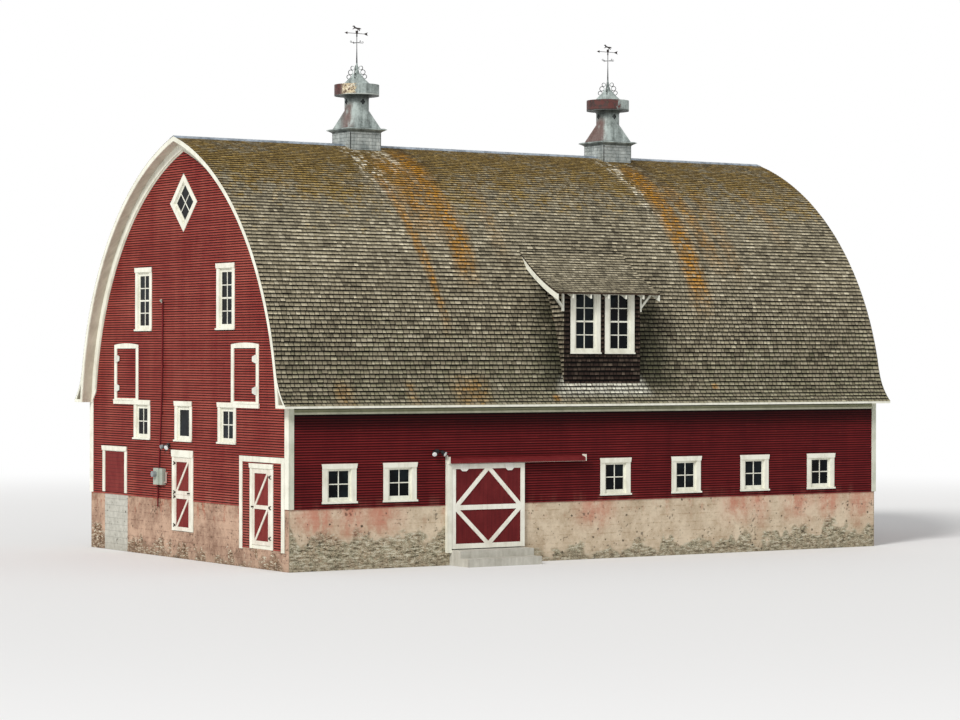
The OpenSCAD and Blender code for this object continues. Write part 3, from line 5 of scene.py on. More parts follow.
import logging
import math
from dataclasses import dataclass, field, replace
from enum import Enum
from functools import cached_property, reduce
from typing import Callable, Sequence, Union

import bpy
import numpy as np
from mathutils import Matrix, Vector


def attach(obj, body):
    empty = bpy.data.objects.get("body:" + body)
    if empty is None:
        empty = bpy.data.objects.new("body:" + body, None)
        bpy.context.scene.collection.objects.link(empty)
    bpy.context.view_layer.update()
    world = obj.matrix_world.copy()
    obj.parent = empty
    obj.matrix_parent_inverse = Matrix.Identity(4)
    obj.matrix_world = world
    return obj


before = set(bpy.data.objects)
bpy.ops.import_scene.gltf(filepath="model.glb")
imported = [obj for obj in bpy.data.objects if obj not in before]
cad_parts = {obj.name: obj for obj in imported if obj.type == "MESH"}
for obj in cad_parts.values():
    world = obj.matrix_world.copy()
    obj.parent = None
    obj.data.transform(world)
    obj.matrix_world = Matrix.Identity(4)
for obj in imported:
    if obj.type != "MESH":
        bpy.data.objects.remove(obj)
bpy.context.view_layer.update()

LOG = logging.getLogger("barn")
Colour = tuple[float, float, float]
Span = tuple[float, float]
Socket = bpy.types.NodeSocket
Material = bpy.types.Material
Number = Union["Value", float]
Paint = Union[Colour, Socket]
BODY = "barn"

# Sizes that several parts share: half the walls' length and width, their height at the eave, half the
# dormer's width, a shingle course, the ventilators' places, half a base's width and the diamond's middle
HALF_LENGTH = 10.250
HALF_WIDTH = 6.095
EAVE = 4.370
DORMER_HALF = 1.330
SHINGLE_COURSE = 0.127
VENTILATORS = (-4.560, 4.560)
BASE_HALF = 0.525
DIAMOND_Z = 10.120


def add_object(name: str, data: bpy.types.ID) -> bpy.types.Object:
    """A new object in the scene, at the origin."""
    added = bpy.data.objects.new(name, data)
    bpy.context.scene.collection.objects.link(added)
    return added


def srgb(red: float, green: float, blue: float) -> Colour:
    """A colour written from 0 to 255 as a screen shows it, turned to linear light."""
    levels = [channel / 255 for channel in (red, green, blue)]
    return tuple(((c + 0.055) / 1.055) ** 2.4 if c > 0.04045 else c / 12.92 for c in levels)


# Shader graphs


class Value:
    """A number socket of a shader, on which Python's arithmetic adds Math nodes."""

    def __init__(self, graph: Graph, socket: Socket) -> None:
        """Keeps the graph that new nodes go in to, and the socket that carries the number."""
        self.graph = graph
        self.socket = socket

    def _math(self, operation: str, first: Number, second: Number = 0.0, clamped: bool = False) -> Value:
        """Adds one Math node.

        Args:
            operation: the node's operation.
            first: its first number.
            second: its second number.
            clamped: whether the result is held between 0 and 1.

        Returns:
            The node's result.
        """
        settings = {"operation": operation, "use_clamp": clamped}
        node = self.graph.node("ShaderNodeMath", settings, {0: first, 1: second})
        return Value(self.graph, node.outputs[0])

    def __add__(self, other: Number) -> Value:
        """This number and another."""
        return self._math("ADD", self, other)

    def __radd__(self, other: Number) -> Value:
        """Another number and this one."""
        return self._math("ADD", other, self)

    def __sub__(self, other: Number) -> Value:
        """This number less another."""
        return self._math("SUBTRACT", self, other)

    def __rsub__(self, other: Number) -> Value:
        """Another number less this one."""
        return self._math("SUBTRACT", other, self)

    def __mul__(self, other: Number) -> Value:
        """This number times another."""
        return self._math("MULTIPLY", self, other)

    def __rmul__(self, other: Number) -> Value:
        """Another number times this one."""
        return self._math("MULTIPLY", other, self)

    def __abs__(self) -> Value:
        """This number without its sign."""
        return self._math("ABSOLUTE", self)

    def above(self, limit: Number) -> Value:
        """1 where this number is over the limit, else 0."""
        return self._math("GREATER_THAN", self, limit)

    def below(self, limit: Number) -> Value:
        """1 where this number is under the limit, else 0."""
        return self._math("LESS_THAN", self, limit)

    def clamp(self) -> Value:
        """This number held between 0 and 1."""
        return self._math("ADD", self, 0.0, clamped=True)

    def larger(self, other: Number) -> Value:
        """The larger of this number and another."""
        return self._math("MAXIMUM", self, other)

    def sway(self, reach: float) -> Value:
        """This number, which swings round a half, swung round nought and reach times as far."""
        return (self - 0.5) * reach

    def fold(self, width: float) -> Value:
        """The distance to the nearest multiple of a width."""
        return self._math("PINGPONG", self, width / 2)

    def smooth(self, low: float, high: float) -> Value:
        """Eases from 0 to 1.

        Args:
            low: where the result is 0.
            high: where the result is 1, which may lie below low.

        Returns:
            The cubic 3t² - 2t³ of the share t of the way from low to high.
        """
        if low > high:
            return 1 - self.smooth(high, low)
        node = self.graph.node("ShaderNodeMapRange", {"interpolation_type": "SMOOTHSTEP", "clamp": True},
                               {"Value": self, "From Min": low, "From Max": high})
        return Value(self.graph, node.outputs[0])

    def near(self, centre: float, half: float, soft: float) -> Value:
        """1 within half of a centre, easing to 0 over the next soft."""
        return abs(self - centre).smooth(half + soft, half)

    def within(self, low: float, high: float) -> Value:
        """1 between two limits, else 0."""
        return self.above(low) * self.below(high)


def largest(values: Sequence[Value]) -> Value:
    """The largest of several numbers."""
    return reduce(Value.larger, values)


class Graph:
    """The node tree of one material, or of the surround."""

    def __init__(self, owner: str | bpy.types.World) -> None:
        """Starts an empty tree.

        Args:
            owner: the name of the new material that it makes, or the surround.
        """
        self.owner = bpy.data.materials.new(owner) if isinstance(owner, str) else owner
        self.owner.use_nodes = True
        self.tree = self.owner.node_tree
        self.tree.nodes.clear()

    @cached_property
    def point(self) -> Socket:
        """The place in the object's own coordinates."""
        return self.node("ShaderNodeTexCoord").outputs["Object"]

    @cached_property
    def axes(self) -> tuple[Value, ...]:
        """The three numbers of that place."""
        parts = self.node("ShaderNodeSeparateXYZ", {}, {0: self.point}).outputs
        return tuple(Value(self, part) for part in parts)

    @property
    def x(self) -> Value:
        """The place along the barn."""
        return self.axes[0]

    @property
    def y(self) -> Value:
        """The place across the barn."""
        return self.axes[1]

    @property
    def z(self) -> Value:
        """The height."""
        return self.axes[2]

    def node(self, kind: str, settings: dict[str, object] | None = None,
             inputs: dict[str | int, object] | None = None) -> bpy.types.Node:
        """Adds a node.

        Args:
            kind: the node's type.
            settings: its properties, set first.
            inputs: the values or links of its sockets.

        Returns:
            The new node.
        """
        node = self.tree.nodes.new(kind)
        for name, value in (settings or {}).items():
            setattr(node, name, value)
        for key, value in (inputs or {}).items():
            self.feed(node.inputs[key], value)
        return node

    def feed(self, socket: Socket, value: object) -> None:
        """Sets or links one socket.

        Args:
            socket: the input to fill.
            value: a number, a colour, a vector, a Value or another node's output.
        """
        if isinstance(value, Value):
            value = value.socket
        if isinstance(value, Socket):
            self.tree.links.new(value, socket)
        elif socket.type == "RGBA":
            socket.default_value = (*value, 1.0)
        else:
            socket.default_value = value

    def attribute(self, name: str) -> Value:
        """The number that the mesh carries under a name."""
        return Value(self, self.node("ShaderNodeAttribute", {"attribute_name": name}).outputs["Fac"])

    def rays(self, *kinds: str) -> Value:
        """1 for light rays of the kinds named, else 0."""
        path = self.node("ShaderNodeLightPath")
        return largest([Value(self, path.outputs[f"Is {kind} Ray"]) for kind in kinds])

    def vector(self, x: Number, y: Number, z: Number = 0.0) -> Socket:
        """A vector of three numbers."""
        return self.node("ShaderNodeCombineXYZ", {}, {0: x, 1: y, 2: z}).outputs[0]

    def noise(self, scale: float, detail: float = 3.0, rough: float = 0.55,
              at: Socket | None = None) -> Value:
        """Cloudy noise from about 0.25 to 0.75: lumps per metre, its finer layers and their strength."""
        node = self.node("ShaderNodeTexNoise", {}, {"Vector": at or self.point, "Scale": scale,
                                                    "Detail": detail, "Roughness": rough})
        return Value(self, node.outputs[0])

    def cells(self, scale: float) -> Value:
        """The distance to the nearest middle of a pattern of cells, so many to the metre, in cells."""
        node = self.node("ShaderNodeTexVoronoi", {"feature": "F1"}, {"Vector": self.point, "Scale": scale})
        return Value(self, node.outputs["Distance"])

    def mix(self, share: Number, first: Paint, second: Paint) -> Socket:
        """Two colours mixed by the second's share."""
        settings = {"data_type": "RGBA", "clamp_factor": True}
        return self.node("ShaderNodeMix", settings, {0: share, 6: first, 7: second}).outputs[2]

    def scaled(self, colour: Paint, level: Number) -> Socket:
        """A colour made darker or paler by a level round 1."""
        return self.node("ShaderNodeVectorMath", {"operation": "SCALE"}, {0: colour, 3: level}).outputs[0]

    def surface(self, colour: Paint, roughness: Number, height: Value | None = None, depth: float = 0.002,
                metallic: Number = 0.0, specular: float = 0.5) -> Material:
        """Ends the graph in a surface.

        Args:
            colour: its base colour.
            roughness: how matt it is.
            height: the relief that bends its normal, from 0 to 1.
            depth: how deep that relief is.
            metallic: how far it is bare metal.
            specular: the level of its plain reflection.

        Returns:
            The finished material.
        """
        sockets = {"Base Color": colour, "Roughness": roughness, "Metallic": metallic,
                   "Specular IOR Level": specular}
        if height is not None:
            sockets["Normal"] = self.node("ShaderNodeBump", {}, {"Strength": 1.0, "Distance": depth,
                                                                 "Height": height}).outputs[0]
        shader = self.node("ShaderNodeBsdfPrincipled", {}, sockets)
        self.node("ShaderNodeOutputMaterial", {}, {"Surface": shader.outputs[0]})
        return self.owner


# Finishes

Mask = Callable[[Graph], Value]


@dataclass(frozen=True)
class BoardPaint:
    """Barn-red paint on lapped boards: a painted shadow under each lap, paler butts, chalked patches, bare
    specks, splashes.
    """

    name: str
    fresh: Colour
    chalked: Colour
    chalk: float = 0.35
    # The colour of the painted shadow under each lap, and of the painted shade under the eave
    lap: Colour = srgb(24, 5, 7)
    dust: Colour = srgb(150, 112, 96)
    splashed: Span = (2.05, 1.66)
    # Where given, the height of the eave's trim, under which the boards are painted darker as shade
    eave: float | None = None

    def material(self) -> Material:
        """The paint as a material."""
        g = Graph(self.name)
        along = g.x + g.y
        grain = g.noise(1.0, 5, 0.6, g.vector(along * 1.6, g.z * 45))
        fine = g.noise(1.0, 3, 0.6, g.vector(along * 14, g.z * 260))
        patch = g.noise(0.5, 4, 0.6)
        drip = g.noise(1.0, 4, 0.55, g.vector(along * 2.6, g.z * 0.3))
        shade, rise = g.attribute("shade"), g.attribute("rise")
        fade = self.chalk + patch.sway(1.2) + grain.sway(0.9) + shade.sway(0.16) + drip.sway(0.8)
        colour = g.mix(fade.clamp(), self.fresh, self.chalked)
        worn = (fine + grain.sway(0.8)).smooth(0.68, 0.8) * rise.smooth(0.45, 0.05) * 0.4
        colour = g.mix(worn, colour, self.dust)
        splash = g.z.smooth(*self.splashed) * drip.smooth(0.46, 0.70) * 0.22
        colour = g.mix(splash, colour, self.dust)
        # Paler towards each butt: partly wear, partly a painted highlight where the lower edge catches the
        # light
        butt = 1 + rise.smooth(0.40, 0.0) * 0.70
        colour = g.scaled(colour, (0.92 + fine * 0.16) * (0.95 + shade * 0.1) * butt)
        # A painted shadow across the top of each board, under the butt of the board above
        colour = g.mix((rise.smooth(0.50, 0.66) * (0.98 + grain.sway(0.7))).clamp(), colour, self.lap)
        if self.eave is not None:
            # Painted shade under the eave, and a painted shadow line just below its trim
            painted_shade = g.z.smooth(self.eave - 0.60, self.eave - 0.05) * 0.75
            line = g.z.smooth(self.eave - 0.08, self.eave - 0.04) * 0.95
            colour = g.mix(painted_shade.larger(line), colour, self.lap)
        return g.surface(colour, 0.72 + (fade - 0.4) * 0.15, grain * 0.6 + fine * 0.4, 0.0022, specular=0.1)


@dataclass(frozen=True)
class Coat:
    """One paint of a node: its colours, its gloss, where it lies, and the board joints it darkens."""

    colour: Colour
    stain: Colour
    amount: float = 0.4
    roughness: float = 0.55
    metallic: float = 0.0
    where: Mask | None = None
    groove: Mask | None = None
    dark: float = 0.72


@dataclass(frozen=True)
class LayeredPaint:
    """Several coats on one node, each over the last where its own mask says."""

    name: str
    coats: tuple[Coat, ...]
    specular: float = 0.2
    depth: float = 0.0016

    def material(self) -> Material:
        """The coats as one material."""
        g = Graph(self.name)
        along = g.x + g.y
        blotch = g.noise(2.3, 5, 0.6)
        streak = g.noise(1.0, 4, 0.6, g.vector(along * 9, g.z * 0.9))
        grain = g.noise(1.0, 4, 0.65, g.vector(along * 30, g.z * 30, g.x * 7))
        soil = blotch.sway(1.6) + streak.sway(1.2) + grain.sway(0.6)
        colour: Paint = (0.0, 0.0, 0.0)
        roughness: Number = 0.5
        metallic: Number = 0.0
        height = grain * 0.7 + blotch * 0.3
        for coat in self.coats:
            paint = g.mix((soil + coat.amount).clamp(), coat.colour, coat.stain)
            if coat.groove is not None:
                line = coat.groove(g).smooth(0.007, 0.002)
                paint = g.scaled(paint, 1 - line * coat.dark)
                height = height - line * (coat.dark * 2.2)
            if coat.where is None:
                colour, roughness, metallic = paint, coat.roughness, coat.metallic
                continue
            mask = coat.where(g)
            colour = g.mix(mask, colour, paint)
            roughness = mask * coat.roughness + (1 - mask) * roughness
            metallic = mask * coat.metallic + (1 - mask) * metallic
        return g.surface(g.scaled(colour, 0.94 + grain * 0.12), roughness + grain.sway(0.16), height,
                         self.depth, metallic, self.specular)


def painted(name: str, *coats: Coat, specular: float = 0.2, depth: float = 0.0016) -> Material:
    """The material of one or more coats, the first of them all over."""
    return LayeredPaint(name, coats, specular, depth).material()


@dataclass(frozen=True)
class Streak:
    """A run of stain down the roof: its top and foot, along the barn and up, and its width and strength."""

    top: Span
    foot: Span
    half: float
    soft: float
    strength: float = 1.0
    head_fade: float = 0.25
    foot_fade: float = 1.6

    def mask(self, g: Graph, x: Value) -> Value:
        """Where the stain lies.

        Args:
            g: the material's graph.
            x: the place along the barn, swayed.

        Returns:
            Its strength within half of the line from top to foot, easing out over soft and at both ends.
        """
        lean = (self.top[0] - self.foot[0]) / (self.top[1] - self.foot[1])
        line = g.z * lean + (self.foot[0] - lean * self.foot[1])
        band = abs(x - line).smooth(self.half + self.soft, self.half / 2)
        foot = g.z.smooth(self.foot[1], self.foot[1] + self.foot_fade)
        head = g.z.smooth(self.top[1] + self.head_fade, self.top[1] - self.head_fade)
        return band * foot * head * self.strength


# Rust below the ventilators and along the eave, washed wood at the heads of the runs, and soot between them
RUST_RUNS = (
    Streak((-5.24, 11.00), (-5.00, 6.00), 0.07, 0.18, 0.75),
    Streak((-3.66, 11.75), (-3.86, 7.40), 0.26, 0.28, 0.95),
    Streak((-4.42, 11.50), (-4.46, 8.60), 0.50, 0.40, 0.75),
    Streak((4.42, 11.55), (4.12, 6.60), 0.28, 0.30, 0.95),
    Streak((5.12, 11.00), (5.24, 7.80), 0.14, 0.30, 0.55),
    Streak((6.00, 10.80), (5.85, 7.60), 0.10, 0.35, 0.35),
    Streak((-2.30, 10.80), (-2.45, 8.00), 0.08, 0.30, 0.25),
    Streak((8.10, 10.90), (8.25, 8.60), 0.08, 0.30, 0.25),
    Streak((-4.55, 5.15), (-4.55, 3.60), 0.40, 0.45, 0.60),
    Streak((-6.52, 5.00), (-6.52, 3.60), 0.06, 0.15, 0.60),
    Streak((-8.60, 5.00), (-8.60, 3.60), 0.16, 0.25, 0.50))
PALE_RUNS = (
    Streak((-5.20, 11.90), (-5.45, 9.60), 0.22, 0.30, 0.95),
    Streak((-4.40, 11.90), (-4.05, 10.40), 0.22, 0.30, 0.9),
    Streak((3.86, 11.90), (3.84, 9.20), 0.16, 0.20, 0.95),
    Streak((4.80, 11.90), (5.10, 10.90), 0.12, 0.20, 0.7))
DARK_RUNS = (
    Streak((-3.40, 12.00), (-3.40, 10.40), 0.35, 0.40, 0.7),
    Streak((5.00, 12.00), (5.00, 10.30), 0.30, 0.35, 0.7))


@dataclass(frozen=True)
class ShingleWood:
    """Weathered shingles: paler butts, a painted shadow under the laps, dark joints, lichen to the ridge,
    rust under the metal.
    """

    name: str
    dark: Colour
    mid: Colour
    pale: Colour
    lichen: Colour = srgb(122, 96, 30)
    soot: Colour = srgb(62, 50, 34)
    moss: Colour = srgb(80, 84, 62)
    # The colour of the painted shade on the front slope beside the dormer
    dormer_shade: Colour = srgb(50, 50, 36)
    washed: Colour = srgb(192, 190, 176)
    rust: Colour = srgb(178, 122, 22)
    burnt: Colour = srgb(106, 76, 26)
    smoke: Colour = srgb(52, 44, 34)
    fleck: Colour = srgb(204, 197, 178)
    orange: Colour = srgb(176, 122, 34)
    weathered: bool = True
    # How dark the painted shadow under each course's butts is
    lines: float = 0.94
    lichen_rise: Span = (8.4, 11.8)
    moss_fall: Span = (8.6, 4.6)
    # Where that painted shade lies: its distances from the barn's middle, and the heights over which it fades
    # out
    dormer_shade_sides: Span = (1.28, 3.4)
    dormer_shade_head: Span = (8.1, 7.0)
    dormer_shade_foot: Span = (4.5, 5.2)
    apron_middle: float = 4.95
    apron_foot: Span = (4.55, 4.80)
    apron_head: Span = (5.35, 5.1)
    spots: tuple[Span, ...] = ((-1.75, 4.60), (4.04, 4.90))

    def weather(self, g: Graph, colour: Paint, patch: Value, mottle: Value, speck: Value,
                other: Value) -> Socket:
        """Lays the roof's lichen, moss, stains and washed places over its wood, and a painted shade beside
        the dormer.

        Args:
            g: the material's graph.
            colour: the bare wood.
            patch: noise in large patches.
            mottle: noise in hand-sized patches.
            speck: fine noise.
            other: a number of each shingle.

        Returns:
            The weathered colour.
        """
        high = g.z.smooth(*self.lichen_rise)
        lichen = high + patch.sway(1.7) + mottle.sway(1.7) + (speck - 0.5) + other.sway(0.3) - 0.34
        colour = g.mix(lichen.smooth(0.10, 0.75) * 0.78, colour, self.lichen)
        soot = (high * 0.7 + speck.sway(2.4) + mottle.sway(1.2) - 0.35).smooth(0.15, 0.55)
        colour = g.mix(soot * 0.55, colour, self.soot)
        moss = other.sway(0.5) + speck.sway(1.3) + (patch - 0.5) + g.z.smooth(*self.moss_fall) * 0.55
        colour = g.mix(moss.smooth(0.20, 0.80) * 0.45, colour, self.moss)
        # Painted shade on the front slope beside the dormer, mottled, and reaching further towards the far
        # gable
        front, off = g.y.below(0.0), abs(g.x)
        beside = front * off.within(*self.dormer_shade_sides)
        beside = beside * g.z.smooth(*self.dormer_shade_head) * g.z.smooth(*self.dormer_shade_foot)
        shadow = (off - g.x.above(0.0) * 0.6).smooth(2.6, 1.4) * (mottle + patch.sway(1.2)).smooth(0.28, 0.52)
        colour = g.mix(beside * shadow * 0.85, colour, self.dormer_shade)
        apron = (off + (g.z - self.apron_middle) * 0.5).smooth(1.70, 1.30)
        apron = apron * g.z.smooth(*self.apron_foot) * g.z.smooth(*self.apron_head)
        worn = g.noise(1.0, 4, 0.7, g.vector(g.x * 12, g.z * 2.0)).smooth(0.34, 0.60)
        colour = g.mix(front * apron * (0.35 + worn * 0.6), colour, self.washed)
        x = g.x + g.noise(1.0, 3, 0.5, g.vector(g.x * 1.2, g.z * 0.8)).sway(0.35)
        torn = g.noise(1.0, 4, 0.75, g.vector(g.x * 9, g.z * 2.2)) + other.sway(0.35)
        dark, rust, pale = (largest([run.mask(g, x) for run in runs])
                            for runs in (DARK_RUNS, RUST_RUNS, PALE_RUNS))
        smoke = dark * (mottle + speck.sway(0.8)).smooth(0.36, 0.56)
        colour = g.mix(smoke * 0.8, colour, self.smoke)
        tint = g.mix((speck * 2.2 - 0.6).clamp(), self.rust, self.burnt)
        colour = g.mix((rust * (torn.smooth(0.26, 0.56) * 0.68 + 0.28)).clamp() * 0.92, colour, tint)
        flecks = pale * (torn + speck.sway(0.8)).smooth(0.50, 0.66)
        bright = rust * (speck + other.sway(0.3)).smooth(0.64, 0.72) * 0.35
        colour = g.mix(flecks.larger(bright) * 0.82, colour, self.fleck)
        for place, height in self.spots:
            spot = front * g.x.near(place, 0.03, 0.16) * g.z.near(height, 0.02, 0.10)
            colour = g.mix(spot * mottle.smooth(0.35, 0.55) * 0.6, colour, self.orange)
        return colour

    def material(self) -> Material:
        """The shingles as a material."""
        g = Graph(self.name)
        shade, rise, other = g.attribute("shade"), g.attribute("rise"), g.attribute("tone")
        run, side = g.attribute("run"), g.attribute("side")
        across = g.x if self.weathered else g.x + g.y
        grain = g.noise(1.0, 4, 0.65, g.vector(across * 60, run * 5, shade * 9))
        patch = g.noise(0.55, 5, 0.62)
        mottle = g.noise(2.8, 4, 0.65)
        speck = g.noise(11.0, 4, 0.7)
        tone = 0.5 + shade.sway(0.50) + patch.sway(0.6) + grain.sway(0.8) + mottle.sway(0.7)
        colour = g.mix(tone.smooth(0.05, 0.50), self.dark, self.mid)
        colour = g.mix(tone.smooth(0.52, 1.02), colour, self.pale)
        if self.weathered:
            colour = self.weather(g, colour, patch, mottle, speck, other)
        # Paler towards each butt: partly weathered wood, partly a painted highlight where the lower edge
        # catches the light
        butt = rise.smooth(0.46, 0.08) * (other.smooth(0.20, 1.0) * 0.9 + 0.55)
        # A painted shadow across the top of each shingle, under the butts of the course above
        lap = rise.smooth(0.50, 0.64) * (self.lines + other.sway(0.12))
        joint = (abs(side - 0.5) * 2).smooth(0.74, 0.96) * (g.z.smooth(9.0, 6.5) * 0.5 + 0.25)
        level = (1 + butt) * (1 - lap) * (1 - joint) * (0.76 + grain * 0.40)
        if self.weathered:
            level = level * (1 - g.z.smooth(8.5, 5.5) * 0.09)
        return g.surface(g.scaled(colour, level), 0.9, grain * 0.6 + speck * 0.4, 0.004, specular=0.1)


@dataclass(frozen=True)
class RubbleConcrete:
    """Rough cast concrete: smooth and board-marked above, rubble below, bled red by the siding in places,
    with painted shade in holes and hollows.
    """

    name: str
    cream: Colour = srgb(212, 196, 172)
    earth: Colour = srgb(172, 152, 126)
    stone: Colour = srgb(146, 141, 118)
    # The dark of the gaps between stones, and of the painted shade in holes and hollows
    pit: Colour = srgb(56, 50, 38)
    fleck: Colour = srgb(208, 202, 182)
    bleed: Colour = srgb(192, 122, 102)
    soil: Colour = srgb(120, 108, 92)
    bleeding: float = 0.3
    bleeds: tuple[Span, ...] = ()
    patch: tuple[Span, Span] | None = None
    form_board: float = 0.24
    block_course: float = 0.19
    wet: Span = (0.9, 1.60)
    splashed: Span = (0.45, 0.0)

    def block_patch(self, g: Graph, colour: Paint, along: Value, mottle: Value) -> Socket:
        """Lays the patch of grey blocks, with dark joints between their courses.

        Args:
            g: the material's graph.
            colour: the concrete round it.
            along: the place along the wall.
            mottle: noise in hand-sized patches.

        Returns:
            The colour with the patch.
        """
        (left, right), heights = self.patch
        inside = along.smooth(left, left + 0.03) * along.smooth(right, right - 0.03) * g.z.within(*heights)
        grey = g.mix((mottle * 1.8 - 0.4).clamp(), srgb(204, 203, 193), srgb(160, 158, 148))
        lines = 1 - g.z.fold(self.block_course).smooth(0.009, 0.002) * 0.4
        return g.mix(inside, colour, g.scaled(grey, lines))

    def material(self) -> Material:
        """The concrete as a material."""
        g = Graph(self.name)
        relief, rubble = g.attribute("relief"), g.attribute("rubble")
        along = g.x + g.y
        cloud = g.noise(1.3, 5, 0.6)
        mottle = g.noise(6.5, 5, 0.7)
        fine = g.noise(34, 4, 0.7)
        run = g.noise(1.0, 4, 0.6, g.vector(along * 5, g.z * 0.9))
        crack = g.noise(1.0, 5, 0.75, g.vector(along * 5.5, g.z * 17, g.x * 0.5))
        boards = (g.z + cloud.sway(0.03)).fold(self.form_board).smooth(0.016, 0.004)
        boards = boards * mottle.smooth(0.40, 0.60)
        shade = cloud.sway(2.6) + mottle.sway(1.6) + fine.sway(1.0) + boards * 0.5 + 0.34
        smooth = g.mix(shade.clamp(), self.cream, self.earth)
        rough = g.mix((mottle.sway(2.8) + fine.sway(1.2) + 0.34).clamp(), self.stone, self.earth)
        rough = g.mix((fine + crack.sway(1.6)).smooth(0.54, 0.68) * 0.95, rough, self.fleck)
        gaps = (fine * 0.7 + crack * 0.3 + crack.sway(1.3)).smooth(0.45, 0.33)
        rough = g.mix(gaps * 0.95, rough, self.pit)
        ragged = (crack.sway(2.2) + (cloud - 0.5) + fine.sway(0.8)) * rubble.smooth(0.0, 0.3)
        colour = g.mix((rubble + ragged).smooth(0.15, 0.80), smooth, rough)
        stain = g.z.smooth(*self.wet) * (run + mottle.sway(0.6)).smooth(0.52, 0.72) * self.bleeding
        for place, half in self.bleeds:
            spread = abs(along - place).smooth(half * 2.4, 0.0) * (g.z + cloud.sway(1.4)).smooth(0.60, 1.50)
            stain = stain.larger(spread * (mottle * 0.5 + run * 0.5).smooth(0.26, 0.62) * 0.80)
        colour = g.mix(stain, colour, self.bleed)
        if self.patch is not None:
            colour = self.block_patch(g, colour, along, mottle)
        torn = fine.sway(0.34) + mottle.sway(0.2)
        # Dark dots for small holes in the face, drawn as painted shade rather than cut in the mesh
        wide = (g.cells(3.1) + torn).smooth(0.13, 0.06) * cloud.smooth(0.38, 0.50)
        small = (g.cells(7.3) + torn * 1.4).smooth(0.22, 0.12) * mottle.smooth(0.48, 0.58)
        # Painted shade in the hollows of the relief
        hollow = relief.smooth(0.24, 0.04) * 0.55
        colour = g.mix((wide.larger(small) * 0.9).larger(hollow), colour, self.pit)
        colour = g.mix(g.z.smooth(*self.splashed) * 0.25, colour, self.soil)
        # Painted shade and light by the relief: darker in its hollows, paler on its stones
        colour = g.scaled(colour, 0.88 + relief * 0.2)
        return g.surface(colour, 0.92, mottle * 0.5 + fine * 0.5, 0.012, specular=0.12)


@dataclass(frozen=True)
class PlainTimber:
    """Sawn boards, bare and browned: board joints across one axis, grain along the other."""

    name: str
    colour: Colour = srgb(142, 112, 80)
    dark: Colour = srgb(92, 70, 50)
    board: float = 0.2

    def material(self) -> Material:
        """The timber as a material."""
        g = Graph(self.name)
        joint = (g.z + g.y * 0.63).fold(self.board).smooth(0.006, 0.001)
        grain = g.noise(1.0, 5, 0.65, g.vector(g.x * 1.5, g.y * 22, g.z * 22))
        cloud = g.noise(0.8, 3)
        colour = g.mix((grain.sway(2.2) + (cloud - 0.5) + 0.5).clamp(), self.colour, self.dark)
        return g.surface(g.scaled(colour, 1 - joint * 0.7), 0.8, grain - joint * 2, 0.003, specular=0.25)


